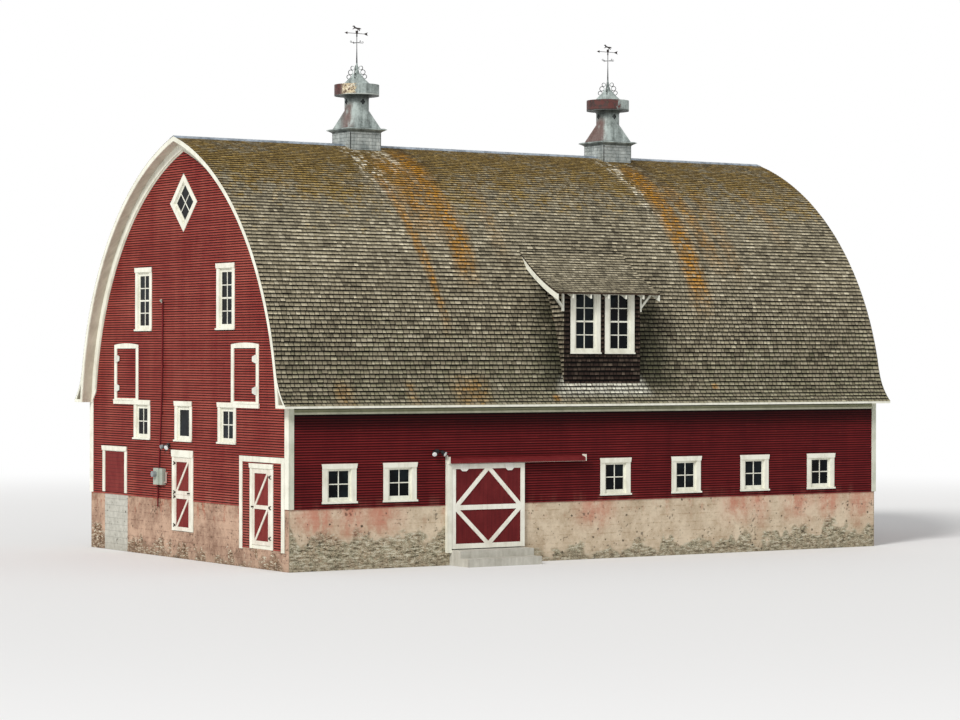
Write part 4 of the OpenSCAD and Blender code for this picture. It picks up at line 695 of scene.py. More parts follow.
@dataclass(frozen=True)
class SheetMetal:
    """Old galvanised sheet: mottled zinc, and a ventilator's own rust, paint and dark ironwork by height,
    with painted shade in its vents and under its drum and cornice.

    Edge, patch and flank are distances right of the axis: where the drum's rust ends, where the paint beside
    it ends, and how far left the body's rust reaches. Cap is the foot and radius of the scrolls' cone. A
    base's corner is its middle along the barn and half its width, and folded is how wide its fold shows."""

    name: str
    zinc: Colour = srgb(176, 187, 183)
    dull: Colour = srgb(100, 108, 105)
    rust: Colour = srgb(88, 34, 28)
    burnt: Colour = srgb(50, 26, 22)
    ochre: Colour = srgb(150, 112, 66)
    cream: Colour = srgb(208, 192, 156)
    mauve: Colour = srgb(118, 82, 76)
    iron: Colour = srgb(40, 42, 42)
    centre: float = 0.0
    rusted: bool = False
    edge: float = 0.0
    patch: float | None = None
    flank: float = -0.36
    corner: Span | None = None
    neck: float = 0.360
    # Heights of two bands of painted shade under the cornice
    cornice: tuple[Span, Span] = ((12.338, 12.400), (12.462, 12.490))
    body: Span = (12.474, 13.30)
    # Heights of the vents' recesses, painted dark as shade
    vents: Span = (13.02, 13.45)
    drum: Span = (13.458, 13.772)
    cap: Span = (13.77, 0.405)
    scrolls: Span = (13.85, 14.425)
    plate: Span = (0.21, 0.105)
    folded: float = 0.024

    def turned(self, g: Graph) -> Value:
        """The distance right of the axis, across the line of sight of the front corner."""
        return (g.x - self.centre) * 0.837 - g.y * 0.547

    def worn(self, g: Graph, colour: Paint, side: Value, pitting: Value, cloud: Value,
             streak: Value) -> tuple[Socket, Value]:
        """Lays a ventilator's rust over its zinc, and a dark lower rim of painted shade on the unpatched
        drum.

        Args:
            g: the material's graph.
            colour: the zinc.
            side: the distance right of the axis.
            pitting: fine noise.
            cloud: noise in large patches.
            streak: noise drawn out down the sheet.

        Returns:
            The rusted colour, and where the rust lies.
        """
        patched = self.patch is not None
        drum = g.z.within(*self.drum)
        blotch = g.noise(7.5, 4, 0.7)
        ragged = blotch.sway(0.55) + pitting.sway(0.35)
        if patched:
            place = (side + ragged).within(self.edge, self.patch)
            scuffed = g.mix(pitting.smooth(0.40, 0.58), srgb(82, 52, 40), self.cream)
            paint = g.mix((blotch * 0.6 + pitting * 0.6).smooth(0.60, 0.70), scuffed, srgb(226, 216, 192))
            colour = g.mix(drum * place * 0.92, colour, paint)
        border = side + ragged * (0.25 if patched else 1.0)
        on_drum = drum * border.smooth(self.edge + 0.10, self.edge - 0.04)
        deep = g.mix((blotch + pitting.sway(0.8)).smooth(0.42, 0.62), self.rust, self.burnt)
        deep = g.mix(side.smooth(-0.30, 0.20) * pitting.smooth(0.60, 0.68) * 0.6, deep, self.ochre)
        colour = g.mix(on_drum * 0.95, colour, deep)
        # The drum's lower rim: pale on the patched ventilator, and painted dark on the other as the shade of
        # its underside
        lip = g.z.within(self.drum[0] - 0.001, self.drum[0] + 0.027)
        lip = lip * (side.smooth(self.edge, self.edge + 0.2) if patched else 1.0)
        colour = g.mix(lip * 0.7, colour, srgb(196, 202, 194) if patched else srgb(40, 32, 30))
        left = side.smooth(0.02, -0.22) * side.smooth(self.flank - 0.2, self.flank + 0.1)
        runs = (0.35 + streak.sway(2.2) + cloud.sway(1.4) + 0.35).smooth(0.25, 0.75)
        on_body = g.z.within(*self.body) * left * runs * g.z.smooth(self.body[1] + 0.02, self.body[1] - 0.25)
        tint = g.mix(pitting.smooth(0.4, 0.6), self.mauve, srgb(92, 60, 52))
        return g.mix(on_body * 0.8, colour, tint), on_drum.larger(on_body * 0.7)

    def seamed(self, g: Graph, colour: Paint) -> tuple[Socket, Value]:
        """Presses a base's sheet into small plates and darkens the fold at its corners.

        Args:
            g: the material's graph.
            colour: the zinc.

        Returns:
            The colour with its seams, and where those lie.
        """
        place, reach = self.corner[0], self.corner[1] - self.folded
        brick = g.node("ShaderNodeTexBrick", {"offset": 0.5},
                       {"Vector": g.vector(g.x + g.y + 0.03, g.z), "Scale": 1.0, "Mortar Size": 0.009,
                        "Mortar Smooth": 0.5, "Brick Width": self.plate[0], "Row Height": self.plate[1]})
        seam = Value(g, brick.outputs["Fac"])
        fold = abs(abs(g.x) - place).above(reach) * abs(g.y).above(reach)
        return g.scaled(colour, (1 - seam * 0.38) * (1 - fold * 0.8)), seam

    def material(self) -> Material:
        """The metal as a material."""
        g = Graph(self.name)
        side = self.turned(g)
        spangle = g.cells(18)
        cloud = g.noise(2.2, 6, 0.65)
        pitting = g.noise(14, 5, 0.72)
        streak = g.noise(1.0, 4, 0.6, g.vector(side * 8, g.z * 0.9, g.y))
        tone = cloud.sway(2.4) + streak.sway(2.2) + pitting.sway(0.9) + (spangle - 0.4) * 0.4 + 0.38
        colour: Paint = g.mix(tone.clamp(), self.zinc, self.dull)
        height = pitting * 0.4 + cloud * 0.3
        rust_mask: Number = 0.0
        if self.rusted:
            colour, rust_mask = self.worn(g, colour, side, pitting, cloud, streak)
        if self.corner is not None:
            colour, seam = self.seamed(g, colour)
            height = height * 0.5 + (1 - seam) * 1.4
        off = g.x - self.centre
        reach = off * off + g.y * g.y
        # Painted shade: inside the vents' recesses, and on a rusted ventilator under its drum and in two
        # bands under its cornice
        painted_shade = reach.below((self.neck - 0.004) ** 2) * g.z.within(*self.vents)
        if self.rusted:
            painted_shade = painted_shade.larger(g.z.smooth(13.20, 13.42) * g.z.below(self.drum[0] - 0.0005) * 0.8)
            for heights, depth in zip(self.cornice, (0.5, 0.35)):
                painted_shade = painted_shade.larger(g.z.within(*heights) * depth)
        colour = g.scaled(colour, (0.78 + pitting * 0.44) * (1 - painted_shade * 0.88))
        if self.rusted:
            outer = ((self.cap[0] - g.z) * 0.92 + (self.cap[1] + 0.03)).larger(0.13)
            iron = g.z.above(self.scrolls[1]).larger(g.z.within(*self.scrolls) * reach.above(outer * outer))
            colour = g.mix(iron * 0.95, colour, self.iron)
        return g.surface(colour, 0.55 + cloud.sway(0.4), height, 0.006, 0.30 - rust_mask * 0.26, 0.35)


@dataclass(frozen=True)
class PaneGlass:
    """Old window glass over a dark room: opaque, its dark colour painted shade of the room behind, glossy and
    a little wavy, with dust in its corners.
    """

    name: str = "window_glass_dark"

    def material(self) -> Material:
        """The glass as a material."""
        g = Graph(self.name)
        wave = g.noise(2.6, 2, 0.4)
        cloud = g.noise(1.1, 3, 0.6)
        dust = g.noise(6.0, 5, 0.7).smooth(0.52, 0.8)
        # The glass's own colour is painted shade: the unlit room that would show through it
        colour = g.mix(cloud.smooth(0.40, 0.66), srgb(5, 7, 9), srgb(18, 27, 31))
        colour = g.mix(dust * 0.2, colour, srgb(44, 52, 50))
        return g.surface(colour, 0.06 + dust * 0.25, wave, 0.02, specular=0.08)


def white_paint(amount: float = 0.16, where: Mask | None = None) -> Coat:
    """Cream-white trim paint, soiled by an amount, laid where a mask says."""
    return Coat(srgb(236, 236, 222), srgb(192, 188, 168), amount, where=where)


def red_paint(amount: float = 0.35, where: Mask | None = None, groove: Mask | None = None,
              dark: float = 0.35) -> Coat:
    """Barn-red paint, chalked by an amount, laid where a mask says, with its board joints darkened."""
    return Coat(srgb(100, 20, 24), srgb(124, 42, 42), amount, 0.7, where=where, groove=groove, dark=dark)


def sun_bleached_and_lit(coat: Coat) -> Coat:
    """The same coat paler, as on the door gable: partly bleached by the sun, partly painted light for the lit
    side.
    """
    return replace(coat, colour=srgb(108, 27, 27), stain=srgb(132, 52, 46))


def bare_boards(groove: Mask) -> Coat:
    """Unpainted boards with a joint where the distance to it is nought."""
    return Coat(srgb(140, 112, 82), srgb(92, 72, 52), 0.5, 0.8, groove=groove)


# Meshes

BOX_FACES = np.array([[0, 3, 2, 1], [4, 5, 6, 7], [0, 1, 5, 4], [1, 2, 6, 5], [2, 3, 7, 6], [3, 0, 4, 7]])
OPEN_ENDED_FACES = BOX_FACES[[0, 2, 3, 5]]
ACROSS_BOX = np.array([0.0, 1.0, 1.0, 0.0] * 2)


@dataclass
class Batch:
    """Quads gathered for one mesh, with named numbers on their corners."""

    points: list[np.ndarray] = field(default_factory=list)
    faces: list[np.ndarray] = field(default_factory=list)
    numbers: dict[str, list[np.ndarray]] = field(default_factory=dict)
    count: int = 0

    def add(self, points: np.ndarray, faces: np.ndarray, **numbers: np.ndarray) -> None:
        """Adds points and the quads between them.

        Args:
            points: an (n, 3) array.
            faces: an (m, 4) array of places in points.
            numbers: arrays of n numbers, by name.
        """
        self.points.append(points)
        self.faces.append(faces + self.count)
        self.count += len(points)
        for name, values in numbers.items():
            self.numbers.setdefault(name, []).append(values)

    def add_boxes(self, corners: np.ndarray, faces: np.ndarray = BOX_FACES, **numbers: np.ndarray) -> None:
        """Adds six-sided blocks.

        Args:
            corners: an (n, 8, 3) array, four corners of the lower end and then the four over them.
            faces: the quads of one block.
            numbers: arrays of numbers at the corners, (n, 8) or of a shape that repeats to it, by name.
        """
        total = len(corners)
        quads = (np.arange(total)[:, None, None] * 8 + faces[None]).reshape(-1, 4)
        flat = {name: np.broadcast_to(values, (total, 8)).reshape(-1) for name, values in numbers.items()}
        self.add(corners.reshape(-1, 3), quads, **flat)

    def build(self, name: str, material: Material, slot: str, smooth: bool = False) -> None:
        """Makes the object, dresses it and lets it ride on the barn.

        Args:
            name: the object's name.
            material: its finish.
            slot: the record's material slot that the finish stands for; not used.
            smooth: whether its faces are shaded round.
        """
        points, faces = np.concatenate(self.points), np.concatenate(self.faces)
        mesh = bpy.data.meshes.new(name)
        mesh.vertices.add(len(points))
        mesh.vertices.foreach_set("co", points.astype(np.float32).ravel())
        mesh.loops.add(faces.size)
        mesh.loops.foreach_set("vertex_index", faces.astype(np.int32).ravel())
        mesh.polygons.add(len(faces))
        mesh.polygons.foreach_set("loop_start", np.arange(0, faces.size, 4, dtype=np.int32))
        mesh.polygons.foreach_set("loop_total", np.full(len(faces), 4, np.int32))
        mesh.polygons.foreach_set("use_smooth", np.full(len(faces), smooth))
        for key, arrays in self.numbers.items():
            layer = mesh.attributes.new(key, "FLOAT", "POINT")
            layer.data.foreach_set("value", np.concatenate(arrays).astype(np.float32))
        mesh.update(calc_edges=True)
        mesh.validate()
        mesh.materials.append(material)
        piece = add_object(name, mesh)
        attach(piece, BODY)
        LOG.info("%s: %d faces", name, len(faces))


def build_parts(name: str, material: Material, slot: str,
                *parts: Cladding | ShingleSlope) -> None:
    """Builds one piece of cladding.

    Args:
        name: the piece's name.
        material: its finish.
        slot: the record's material slot that the finish stands for; passed on, but not used.
        parts: the claddings or slopes it joins.
    """
    batch = Batch()
    for part in parts:
        part.add_to(batch)
    batch.build(name, material, slot)


def coat_nodes(material: Material, *names: str) -> None:
    """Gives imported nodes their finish.

    Args:
        material: what fills each of their material slots.
        names: the nodes.
    """
    for name in names:
        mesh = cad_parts[name].data
        if not mesh.materials:
            mesh.materials.append(material)
        for number in range(len(mesh.materials)):
            mesh.materials[number] = material
        LOG.info("%s: %s", name, material.name)


def lattice_noise(points: np.ndarray, size: float, seed: int) -> np.ndarray:
    """Smooth noise from 0 to 1: random numbers on a square lattice, blended by 3t² - 2t³ between its corners.

    Args:
        points: an (n, 2) array of places.
        size: the lattice's spacing.
        seed: what the random numbers start from.

    Returns:
        n numbers.
    """
    cell = points / size
    low = np.floor(cell).astype(int)
    t = cell - low
    t = t * t * (3 - 2 * t)
    low -= low.min(0)
    table = np.random.default_rng(seed).random(tuple(low.max(0) + 2))
    i, j = low[:, 0], low[:, 1]
    bottom = table[i, j] * (1 - t[:, 0]) + table[i + 1, j] * t[:, 0]
    top = table[i, j + 1] * (1 - t[:, 0]) + table[i + 1, j + 1] * t[:, 0]
    return bottom * (1 - t[:, 1]) + top * t[:, 1]


def stone_noise(points: np.ndarray, size: float, seed: int) -> np.ndarray:
    """How far each place is inside its own stone: the second nearest less the nearest distance to the stones'
    jittered middles, in stones.

    Args:
        points: an (n, 2) array of places.
        size: a stone's mean size.
        seed: what the jitter starts from.

    Returns:
        n numbers, 0 in the joints.
    """
    cell = points / size
    low = np.floor(cell).astype(int)
    shift = low.min(0) - 1
    jitter = np.random.default_rng(seed).random((*(low.max(0) - shift + 3), 2))
    near = np.full(len(points), 9.0)
    second = near.copy()
    for step in np.ndindex(3, 3):
        at = low + np.array(step) - 1
        middle = at + jitter[at[:, 0] - shift[0], at[:, 1] - shift[1]]
        distance = np.linalg.norm(cell - middle, axis=1)
        second = np.minimum(second, np.maximum(near, distance))
        near = np.minimum(near, distance)
    return second - near


@dataclass(frozen=True)
class WallFrame:
    """A wall's own frame: u along it from its left end as seen from outside, v in to the barn, z up."""

    origin: Span
    along: Span
    inward: Span

    def place(self, points: np.ndarray) -> np.ndarray:
        """Carries (..., 3) arrays of u, v and z to the barn's frame: the origin, u along it and v inward."""
        u, v, z = points[..., 0], points[..., 1], points[..., 2]
        return np.stack([self.origin[0] + u * self.along[0] + v * self.inward[0],
                         self.origin[1] + u * self.along[1] + v * self.inward[1], z], axis=-1)


class Side(Enum):
    """The barn's four walls and the three faces of its dormer."""

    FRONT = WallFrame((-HALF_LENGTH, -HALF_WIDTH), (1, 0), (0, 1))
    BACK = WallFrame((HALF_LENGTH, HALF_WIDTH), (-1, 0), (0, -1))
    DOOR_GABLE = WallFrame((-HALF_LENGTH, HALF_WIDTH), (0, -1), (1, 0))
    FAR_GABLE = WallFrame((HALF_LENGTH, -HALF_WIDTH), (0, 1), (-1, 0))
    DORMER_FRONT = WallFrame((0.0, -HALF_WIDTH), (1, 0), (0, 1))
    DORMER_LEFT = WallFrame((-DORMER_HALF, 0.0), (0, -1), (1, 0))
    DORMER_RIGHT = WallFrame((DORMER_HALF, 0.0), (0, 1), (-1, 0))


@dataclass(frozen=True)
class GothicArch:
    """The roof's cross-section: each side is one arc from eave to ridge, with a hollow flare at its foot."""

    foot: Span = (6.110, EAVE)
    apex: float = 11.995
    radius: float = 8.580
    flare_top: float = 5.320
    flare_proud: float = 0.004
    flare_tip: Span = (6.500, 4.430)
    flare_radius: float = 1.780

    @property
    def centre(self) -> Span:
        """The middle of the arc: off the chord's middle, square to the chord, by the rest of the radius."""
        across, up = self.foot[0], self.foot[1] - self.apex
        chord = math.hypot(across, up)
        off = math.sqrt(self.radius ** 2 - chord ** 2 / 4) / chord
        return (self.foot[0] / 2 + off * up, (self.foot[1] + self.apex) / 2 - off * across)

    def reach(self, z: float, inset: float = 0.0) -> float:
        """How far the arc, drawn in by an inset, stands from the barn's middle at a height."""
        cx, cz = self.centre
        return cx + math.sqrt(max((self.radius - inset) ** 2 - (z - cz) ** 2, 0.0))

    def outline(self, steps: int = 240) -> np.ndarray:
        """The whole side from the flare's tip to the ridge.

        Args:
            steps: how many points lie on the hollow arc, a third of those on the round one.

        Returns:
            An (n, 2) array of distances from the middle and heights, by equal angles along the hollow arc and
            then the round one.
        """
        start = np.array([self.reach(self.flare_top, -self.flare_proud), self.flare_top])
        tip = np.array(self.flare_tip)
        chord = tip - start
        length = np.linalg.norm(chord)
        middle = (start + tip) / 2 + math.sqrt(self.flare_radius ** 2 - length ** 2 / 4) * np.array(
            [-chord[1], chord[0]]) / length
        ends = np.arctan2(*(np.array([tip, start]) - middle).T[::-1]) % (2 * math.pi)
        angles = np.linspace(*ends, steps)
        hollow = middle + self.flare_radius * np.stack([np.cos(angles), np.sin(angles)], 1)
        centre = np.array(self.centre)
        low = math.atan2(self.flare_top - centre[1], start[0] - centre[0])
        high = math.atan2(self.apex - centre[1], -centre[0])
        angles = np.linspace(low, high, steps * 3)[1:]
        rounded = centre + self.radius * np.stack([np.cos(angles), np.sin(angles)], 1)
        return np.concatenate([hollow, rounded])


@dataclass(frozen=True)
class DormerCurve:
    """The dormer roof's cross-section: its underside is one hollow arc from the eave up to the barn's roof.

    Its shingles lie clear of the deck, from inside of the tip to a distance from the barn's middle."""

    tip: Span = (6.430, 7.540)
    slope: float = math.radians(22.5)
    radius: float = 6.800
    deck: float = 0.060
    shingled_from: float = 0.018
    shingled_to: float = 4.440
    clear: float = 0.001

    @property
    def centre(self) -> Span:
        """The middle of the arc: over the tip, square to the eave's slope."""
        return (self.tip[0] + self.radius * math.sin(self.slope),
                self.tip[1] + self.radius * math.cos(self.slope))

    def under(self, s: np.ndarray) -> np.ndarray:
        """The underside's height at a distance from the barn's middle, from the circle's equation."""
        return self.centre[1] - np.sqrt(self.radius ** 2 - (self.centre[0] - s) ** 2)

    def reach(self, z: float) -> float:
        """The distance from the barn's middle at which the underside has a height."""
        return self.centre[0] - math.sqrt(max(self.radius ** 2 - (self.centre[1] - z) ** 2, 0.0))

    def outline(self, steps: int = 60) -> np.ndarray:
        """What the shingles lie on, as an (n, 2) array: the underside, raised by the deck's thickness."""
        s = np.linspace(self.tip[0] + self.shingled_from, self.shingled_to, steps)
        return np.stack([s, self.under(s) + self.deck + self.clear], 1)


# Cladding

Outline = Callable[[float], Span]

# Heights that differ by less are the same height, and no strip of a course is lower than a sliver
SAME = 1e-6
SLIVER = 1e-4
SEEDS_APART = 1000


@dataclass(frozen=True)
class Block:
    """A place that cladding leaves free: a rectangle, or a diamond standing on its point."""

    left: float
    low: float
    right: float
    high: float
    diamond: bool = False

    def span(self, z: float) -> Span:
        """The left and right edge at a height."""
        if not self.diamond:
            return self.left, self.right
        middle = (self.left + self.right) / 2
        half = max((self.high - self.low) / 2 - abs(z - (self.low + self.high) / 2), 0.0)
        return middle - half, middle + half

    def moved(self, u: float) -> Block:
        """The same place further along the wall."""
        return replace(self, left=u + self.left, right=u + self.right)

    def heights(self) -> list[float]:
        """The heights where its edges turn."""
        return [self.low, self.high] + ([(self.low + self.high) / 2] if self.diamond else [])


@dataclass
class Cladding:
    """Lapped courses on one wall: each course is cut round the blocks and joined from boards or shingles.

    A board stands off the wall by thin at its top and thick at its butt. Its length lies between the widths,
    and drop says how uneven the butts are. Turns are the heights where the outline bends."""

    side: Side
    low: float
    high: float
    outline: Outline
    blocks: Sequence[Block] = ()
    turns: tuple[float, ...] = ()
    pitch: float = 0.070
    thin: float = 0.002
    thick: float = 0.014
    widths: Span = (2.4, 4.8)
    gap: float = 0.002
    shortest: float = 0.020
    clear: float = 0.0005
    beyond: float = 0.5
    drop: float = 0.0
    base: float = 0.0
    seed: int = 1

    def runs(self, low: float, high: float) -> list[tuple[float, float, float, float]]:
        """The free lengths between two heights.

        Args:
            low: the lower height.
            high: the upper height.

        Returns:
            The left and right edge of each length at the lower height, then at the upper one.
        """
        found = [(*self.outline(low), *self.outline(high))]
        for block in self.blocks:
            if block.high <= low + SAME or block.low >= high - SAME:
                continue
            (bl, br), (tl, tr) = block.span(low), block.span(high)
            kept = []
            for run in found:
                lb, rb, lt, rt = run
                if br + tr <= lb + lt or bl + tl >= rb + rt:
                    kept.append(run)
                    continue
                if bl + tl > lb + lt:
                    kept.append((lb, max(bl, lb), lt, max(tl, lt)))
                if br + tr < rb + rt:
                    kept.append((min(br, rb), rb, min(tr, rt), rt))
            found = kept
        return found

    def add_to(self, batch: Batch) -> None:
        """Adds the boards: wedges whose front stands off the wall by thick at the butt and thin at the top.

        Args:
            batch: the mesh that they go in to.
        """
        heights = {z for block in self.blocks for z in block.heights()} | set(self.turns)
        turns = sorted(z for z in heights if self.low < z < self.high)
        ends = [self.outline(z) for z in (self.low, (self.low + self.high) / 2, self.high)]
        far_left, far_right = min(e[0] for e in ends) - self.beyond, max(e[1] for e in ends) + self.beyond
        corners, rises, shades, tones = [], [], [], []
        for course in range(math.ceil((self.high - self.low) / self.pitch)):
            z0 = self.low + course * self.pitch
            z1 = min(z0 + self.pitch, self.high)
            rng = np.random.default_rng(self.seed * SEEDS_APART + course)
            widths = rng.uniform(*self.widths, int((far_right - far_left) / self.widths[0]) + 2)
            joints = far_left + rng.uniform(0, self.widths[0]) + np.cumsum(widths)
            count = len(joints) + 1
            shade, tone = rng.random(count), rng.random(count)
            drops = rng.normal(0, self.drop, count) if self.drop else np.zeros(count)
            cuts = [z0] + [z for z in turns if z0 + SLIVER < z < z1 - SLIVER] + [z1]
            for low, high in zip(cuts[:-1], cuts[1:]):
                for lb, rb, lt, rt in self.runs(low, high):
                    inside = joints[(joints > max(lb, lt) + self.shortest)
                                    & (joints < min(rb, rt) - self.shortest)]
                    starts, stops = inside + self.gap / 2, inside - self.gap / 2
                    edges = [(np.r_[lb, starts], np.r_[stops, rb]), (np.r_[lt, starts], np.r_[stops, rt])]
                    which = np.searchsorted(joints, (edges[0][0] + edges[0][1]) / 2)
                    foot = low + (drops[which] if low == z0 else 0.0)
                    block = []
                    for (left, right), z, level in zip(edges, (low, high), (foot, high)):
                        front = -(self.thin + (self.thick - self.thin) * (1 - (z - z0) / self.pitch))
                        back = -self.clear
                        for u, v in ((left, front), (right, front), (right, back), (left, back)):
                            block.append(np.stack(np.broadcast_arrays(u, v, level), 1))
                    corners.append(np.stack(block, 1) + np.array([0, self.base, 0]))
                    rise = np.repeat([(low - z0) / self.pitch, (high - z0) / self.pitch], 4)
                    rises.append(np.broadcast_to(rise, (len(which), 8)))
                    shades.append(shade[which])
                    tones.append(tone[which])
        placed = self.side.value.place(np.concatenate(corners))
        batch.add_boxes(placed, rise=np.concatenate(rises), shade=np.concatenate(shades)[:, None],
                        tone=np.concatenate(tones)[:, None], run=placed[..., 2], side=ACROSS_BOX)


@dataclass
class Siding:
    """The red lapped siding of all four walls, the bay and the loft leaves.

    Places are window middles along their wall. The loft's holes and leaves are given round their middles. A
    gable's outline steps in to the arch just over the eave, within the bend."""

    low: float = 1.660
    eave: float = 4.200
    gable_top: float = 11.800
    inset: float = 0.030
    bend: float = 0.001
    arch: GothicArch = GothicArch()
    arch_inset: float = 0.180
    front_places: tuple[float, ...] = (1.545, 3.460, 10.710, 13.253, 15.796, 18.339)
    front_z: Span = (1.800, 2.870)
    back_spacing: float = 2.543
    low_places: tuple[float, ...] = (3.475, HALF_WIDTH, 8.715)
    low_z: Span = (3.330, 4.480)
    tall_places: tuple[float, ...] = (3.565, 8.625)
    tall_z: Span = (6.490, 8.340)
    casing_half: float = 0.500
    casing_lap: float = 0.030
    diamond_side: float = 1.170
    diamond_lap: float = 0.110
    slider: Block = Block(5.170, 0.0, 7.450, 2.732)
    doors: tuple[Block, ...] = (Block(0.910, 1.720, 2.470, 3.060), Block(5.437, 0.0, 6.677, 3.055),
                                Block(9.480, 0.0, 11.940, 3.010))
    bay: tuple[Block, ...] = (Block(9.600, 0.545, 10.080, 2.900), Block(11.320, 0.545, 11.820, 2.900),
                              Block(10.050, 2.830, 11.350, 2.900))
    loft_places: tuple[float, ...] = (2.440, 9.750)
    loft_hole: Block = Block(-0.760, 4.375, 0.760, 6.060)
    leaf: Block = Block(-0.633, 4.522, 0.633, 5.983)

    @property
    def back_places(self) -> list[float]:
        """The middles of the seven back windows."""
        return [HALF_LENGTH + (number - 3) * self.back_spacing for number in range(7)]

    def long_outline(self, _: float) -> Span:
        """The front's and the back's edges, the same at every height."""
        return self.inset, 2 * HALF_LENGTH - self.inset

    def gable_outline(self, z: float) -> Span:
        """A gable's edges at a height: straight below the eave, and then the arch drawn in."""
        reach = HALF_WIDTH - self.inset if z < EAVE else self.arch.reach(z, self.arch_inset)
        return HALF_WIDTH - reach, HALF_WIDTH + reach

    def window_blocks(self, places: Sequence[float], heights: Span) -> list[Block]:
        """Room for windows, in from the edges of their casings by the lap."""
        return [Block(u - self.casing_half, heights[0] + self.casing_lap, u + self.casing_half,
                      heights[1] - self.casing_lap) for u in places]

    def gable_blocks(self) -> list[Block]:
        """Room for the windows that both gables have."""
        half = self.diamond_side / math.sqrt(2) - self.diamond_lap
        diamond = Block(HALF_WIDTH - half, DIAMOND_Z - half, HALF_WIDTH + half, DIAMOND_Z + half, True)
        return (self.window_blocks(self.low_places, self.low_z)
                + self.window_blocks(self.tall_places, self.tall_z) + [diamond])

    def gable(self, side: Side, blocks: Sequence[Block], seed: int) -> Cladding:
        """The boards of one gable, cut where its outline bends at the eave."""
        return Cladding(side, self.low, self.gable_top, self.gable_outline, [*self.gable_blocks(), *blocks],
                        (EAVE, EAVE + self.bend), seed=seed)

    def build(self) -> None:
        """Builds one piece for each wall."""
        # One red in two copies: the front and back's darker one is partly painted shade, the gables' paler
        # one partly painted light and partly the real bleaching of the sun
        crimson = BoardPaint("siding_paint_shaded_crimson", srgb(80, 14, 18), srgb(112, 33, 34), 0.34,
                             eave=self.eave).material()
        lit_sun_bleached_red = BoardPaint("siding_paint_bleached_and_lit", srgb(117, 37, 34), srgb(155, 82, 70), 0.38).material()
        build_parts("siding_front", crimson, "red_siding", Cladding(
            Side.FRONT, self.low, self.eave, self.long_outline,
            self.window_blocks(self.front_places, self.front_z) + [self.slider], seed=1))
        build_parts("siding_back", crimson, "red_siding", Cladding(
            Side.BACK, self.low, self.eave, self.long_outline,
            self.window_blocks(self.back_places, self.front_z), seed=2))
        build_parts("siding_far_gable", lit_sun_bleached_red, "red_siding", self.gable(Side.FAR_GABLE, (), seed=3))
        holes = [self.loft_hole.moved(u) for u in self.loft_places]
        leaves = [self.leaf.moved(u) for u in self.loft_places]
        build_parts("siding_door_gable", lit_sun_bleached_red, "red_siding",
                    self.gable(Side.DOOR_GABLE, [*self.doors, *holes], seed=4),
                    *(Cladding(Side.DOOR_GABLE, strip.low, strip.high, strip.span, seed=5 + number)
                      for number, strip in enumerate(self.bay)),
                    *(Cladding(Side.DOOR_GABLE, leaf.low, leaf.high, leaf.span, thin=0.001, thick=0.012,
                               base=0.0095, seed=9 + number) for number, leaf in enumerate(leaves)))


# Shingles


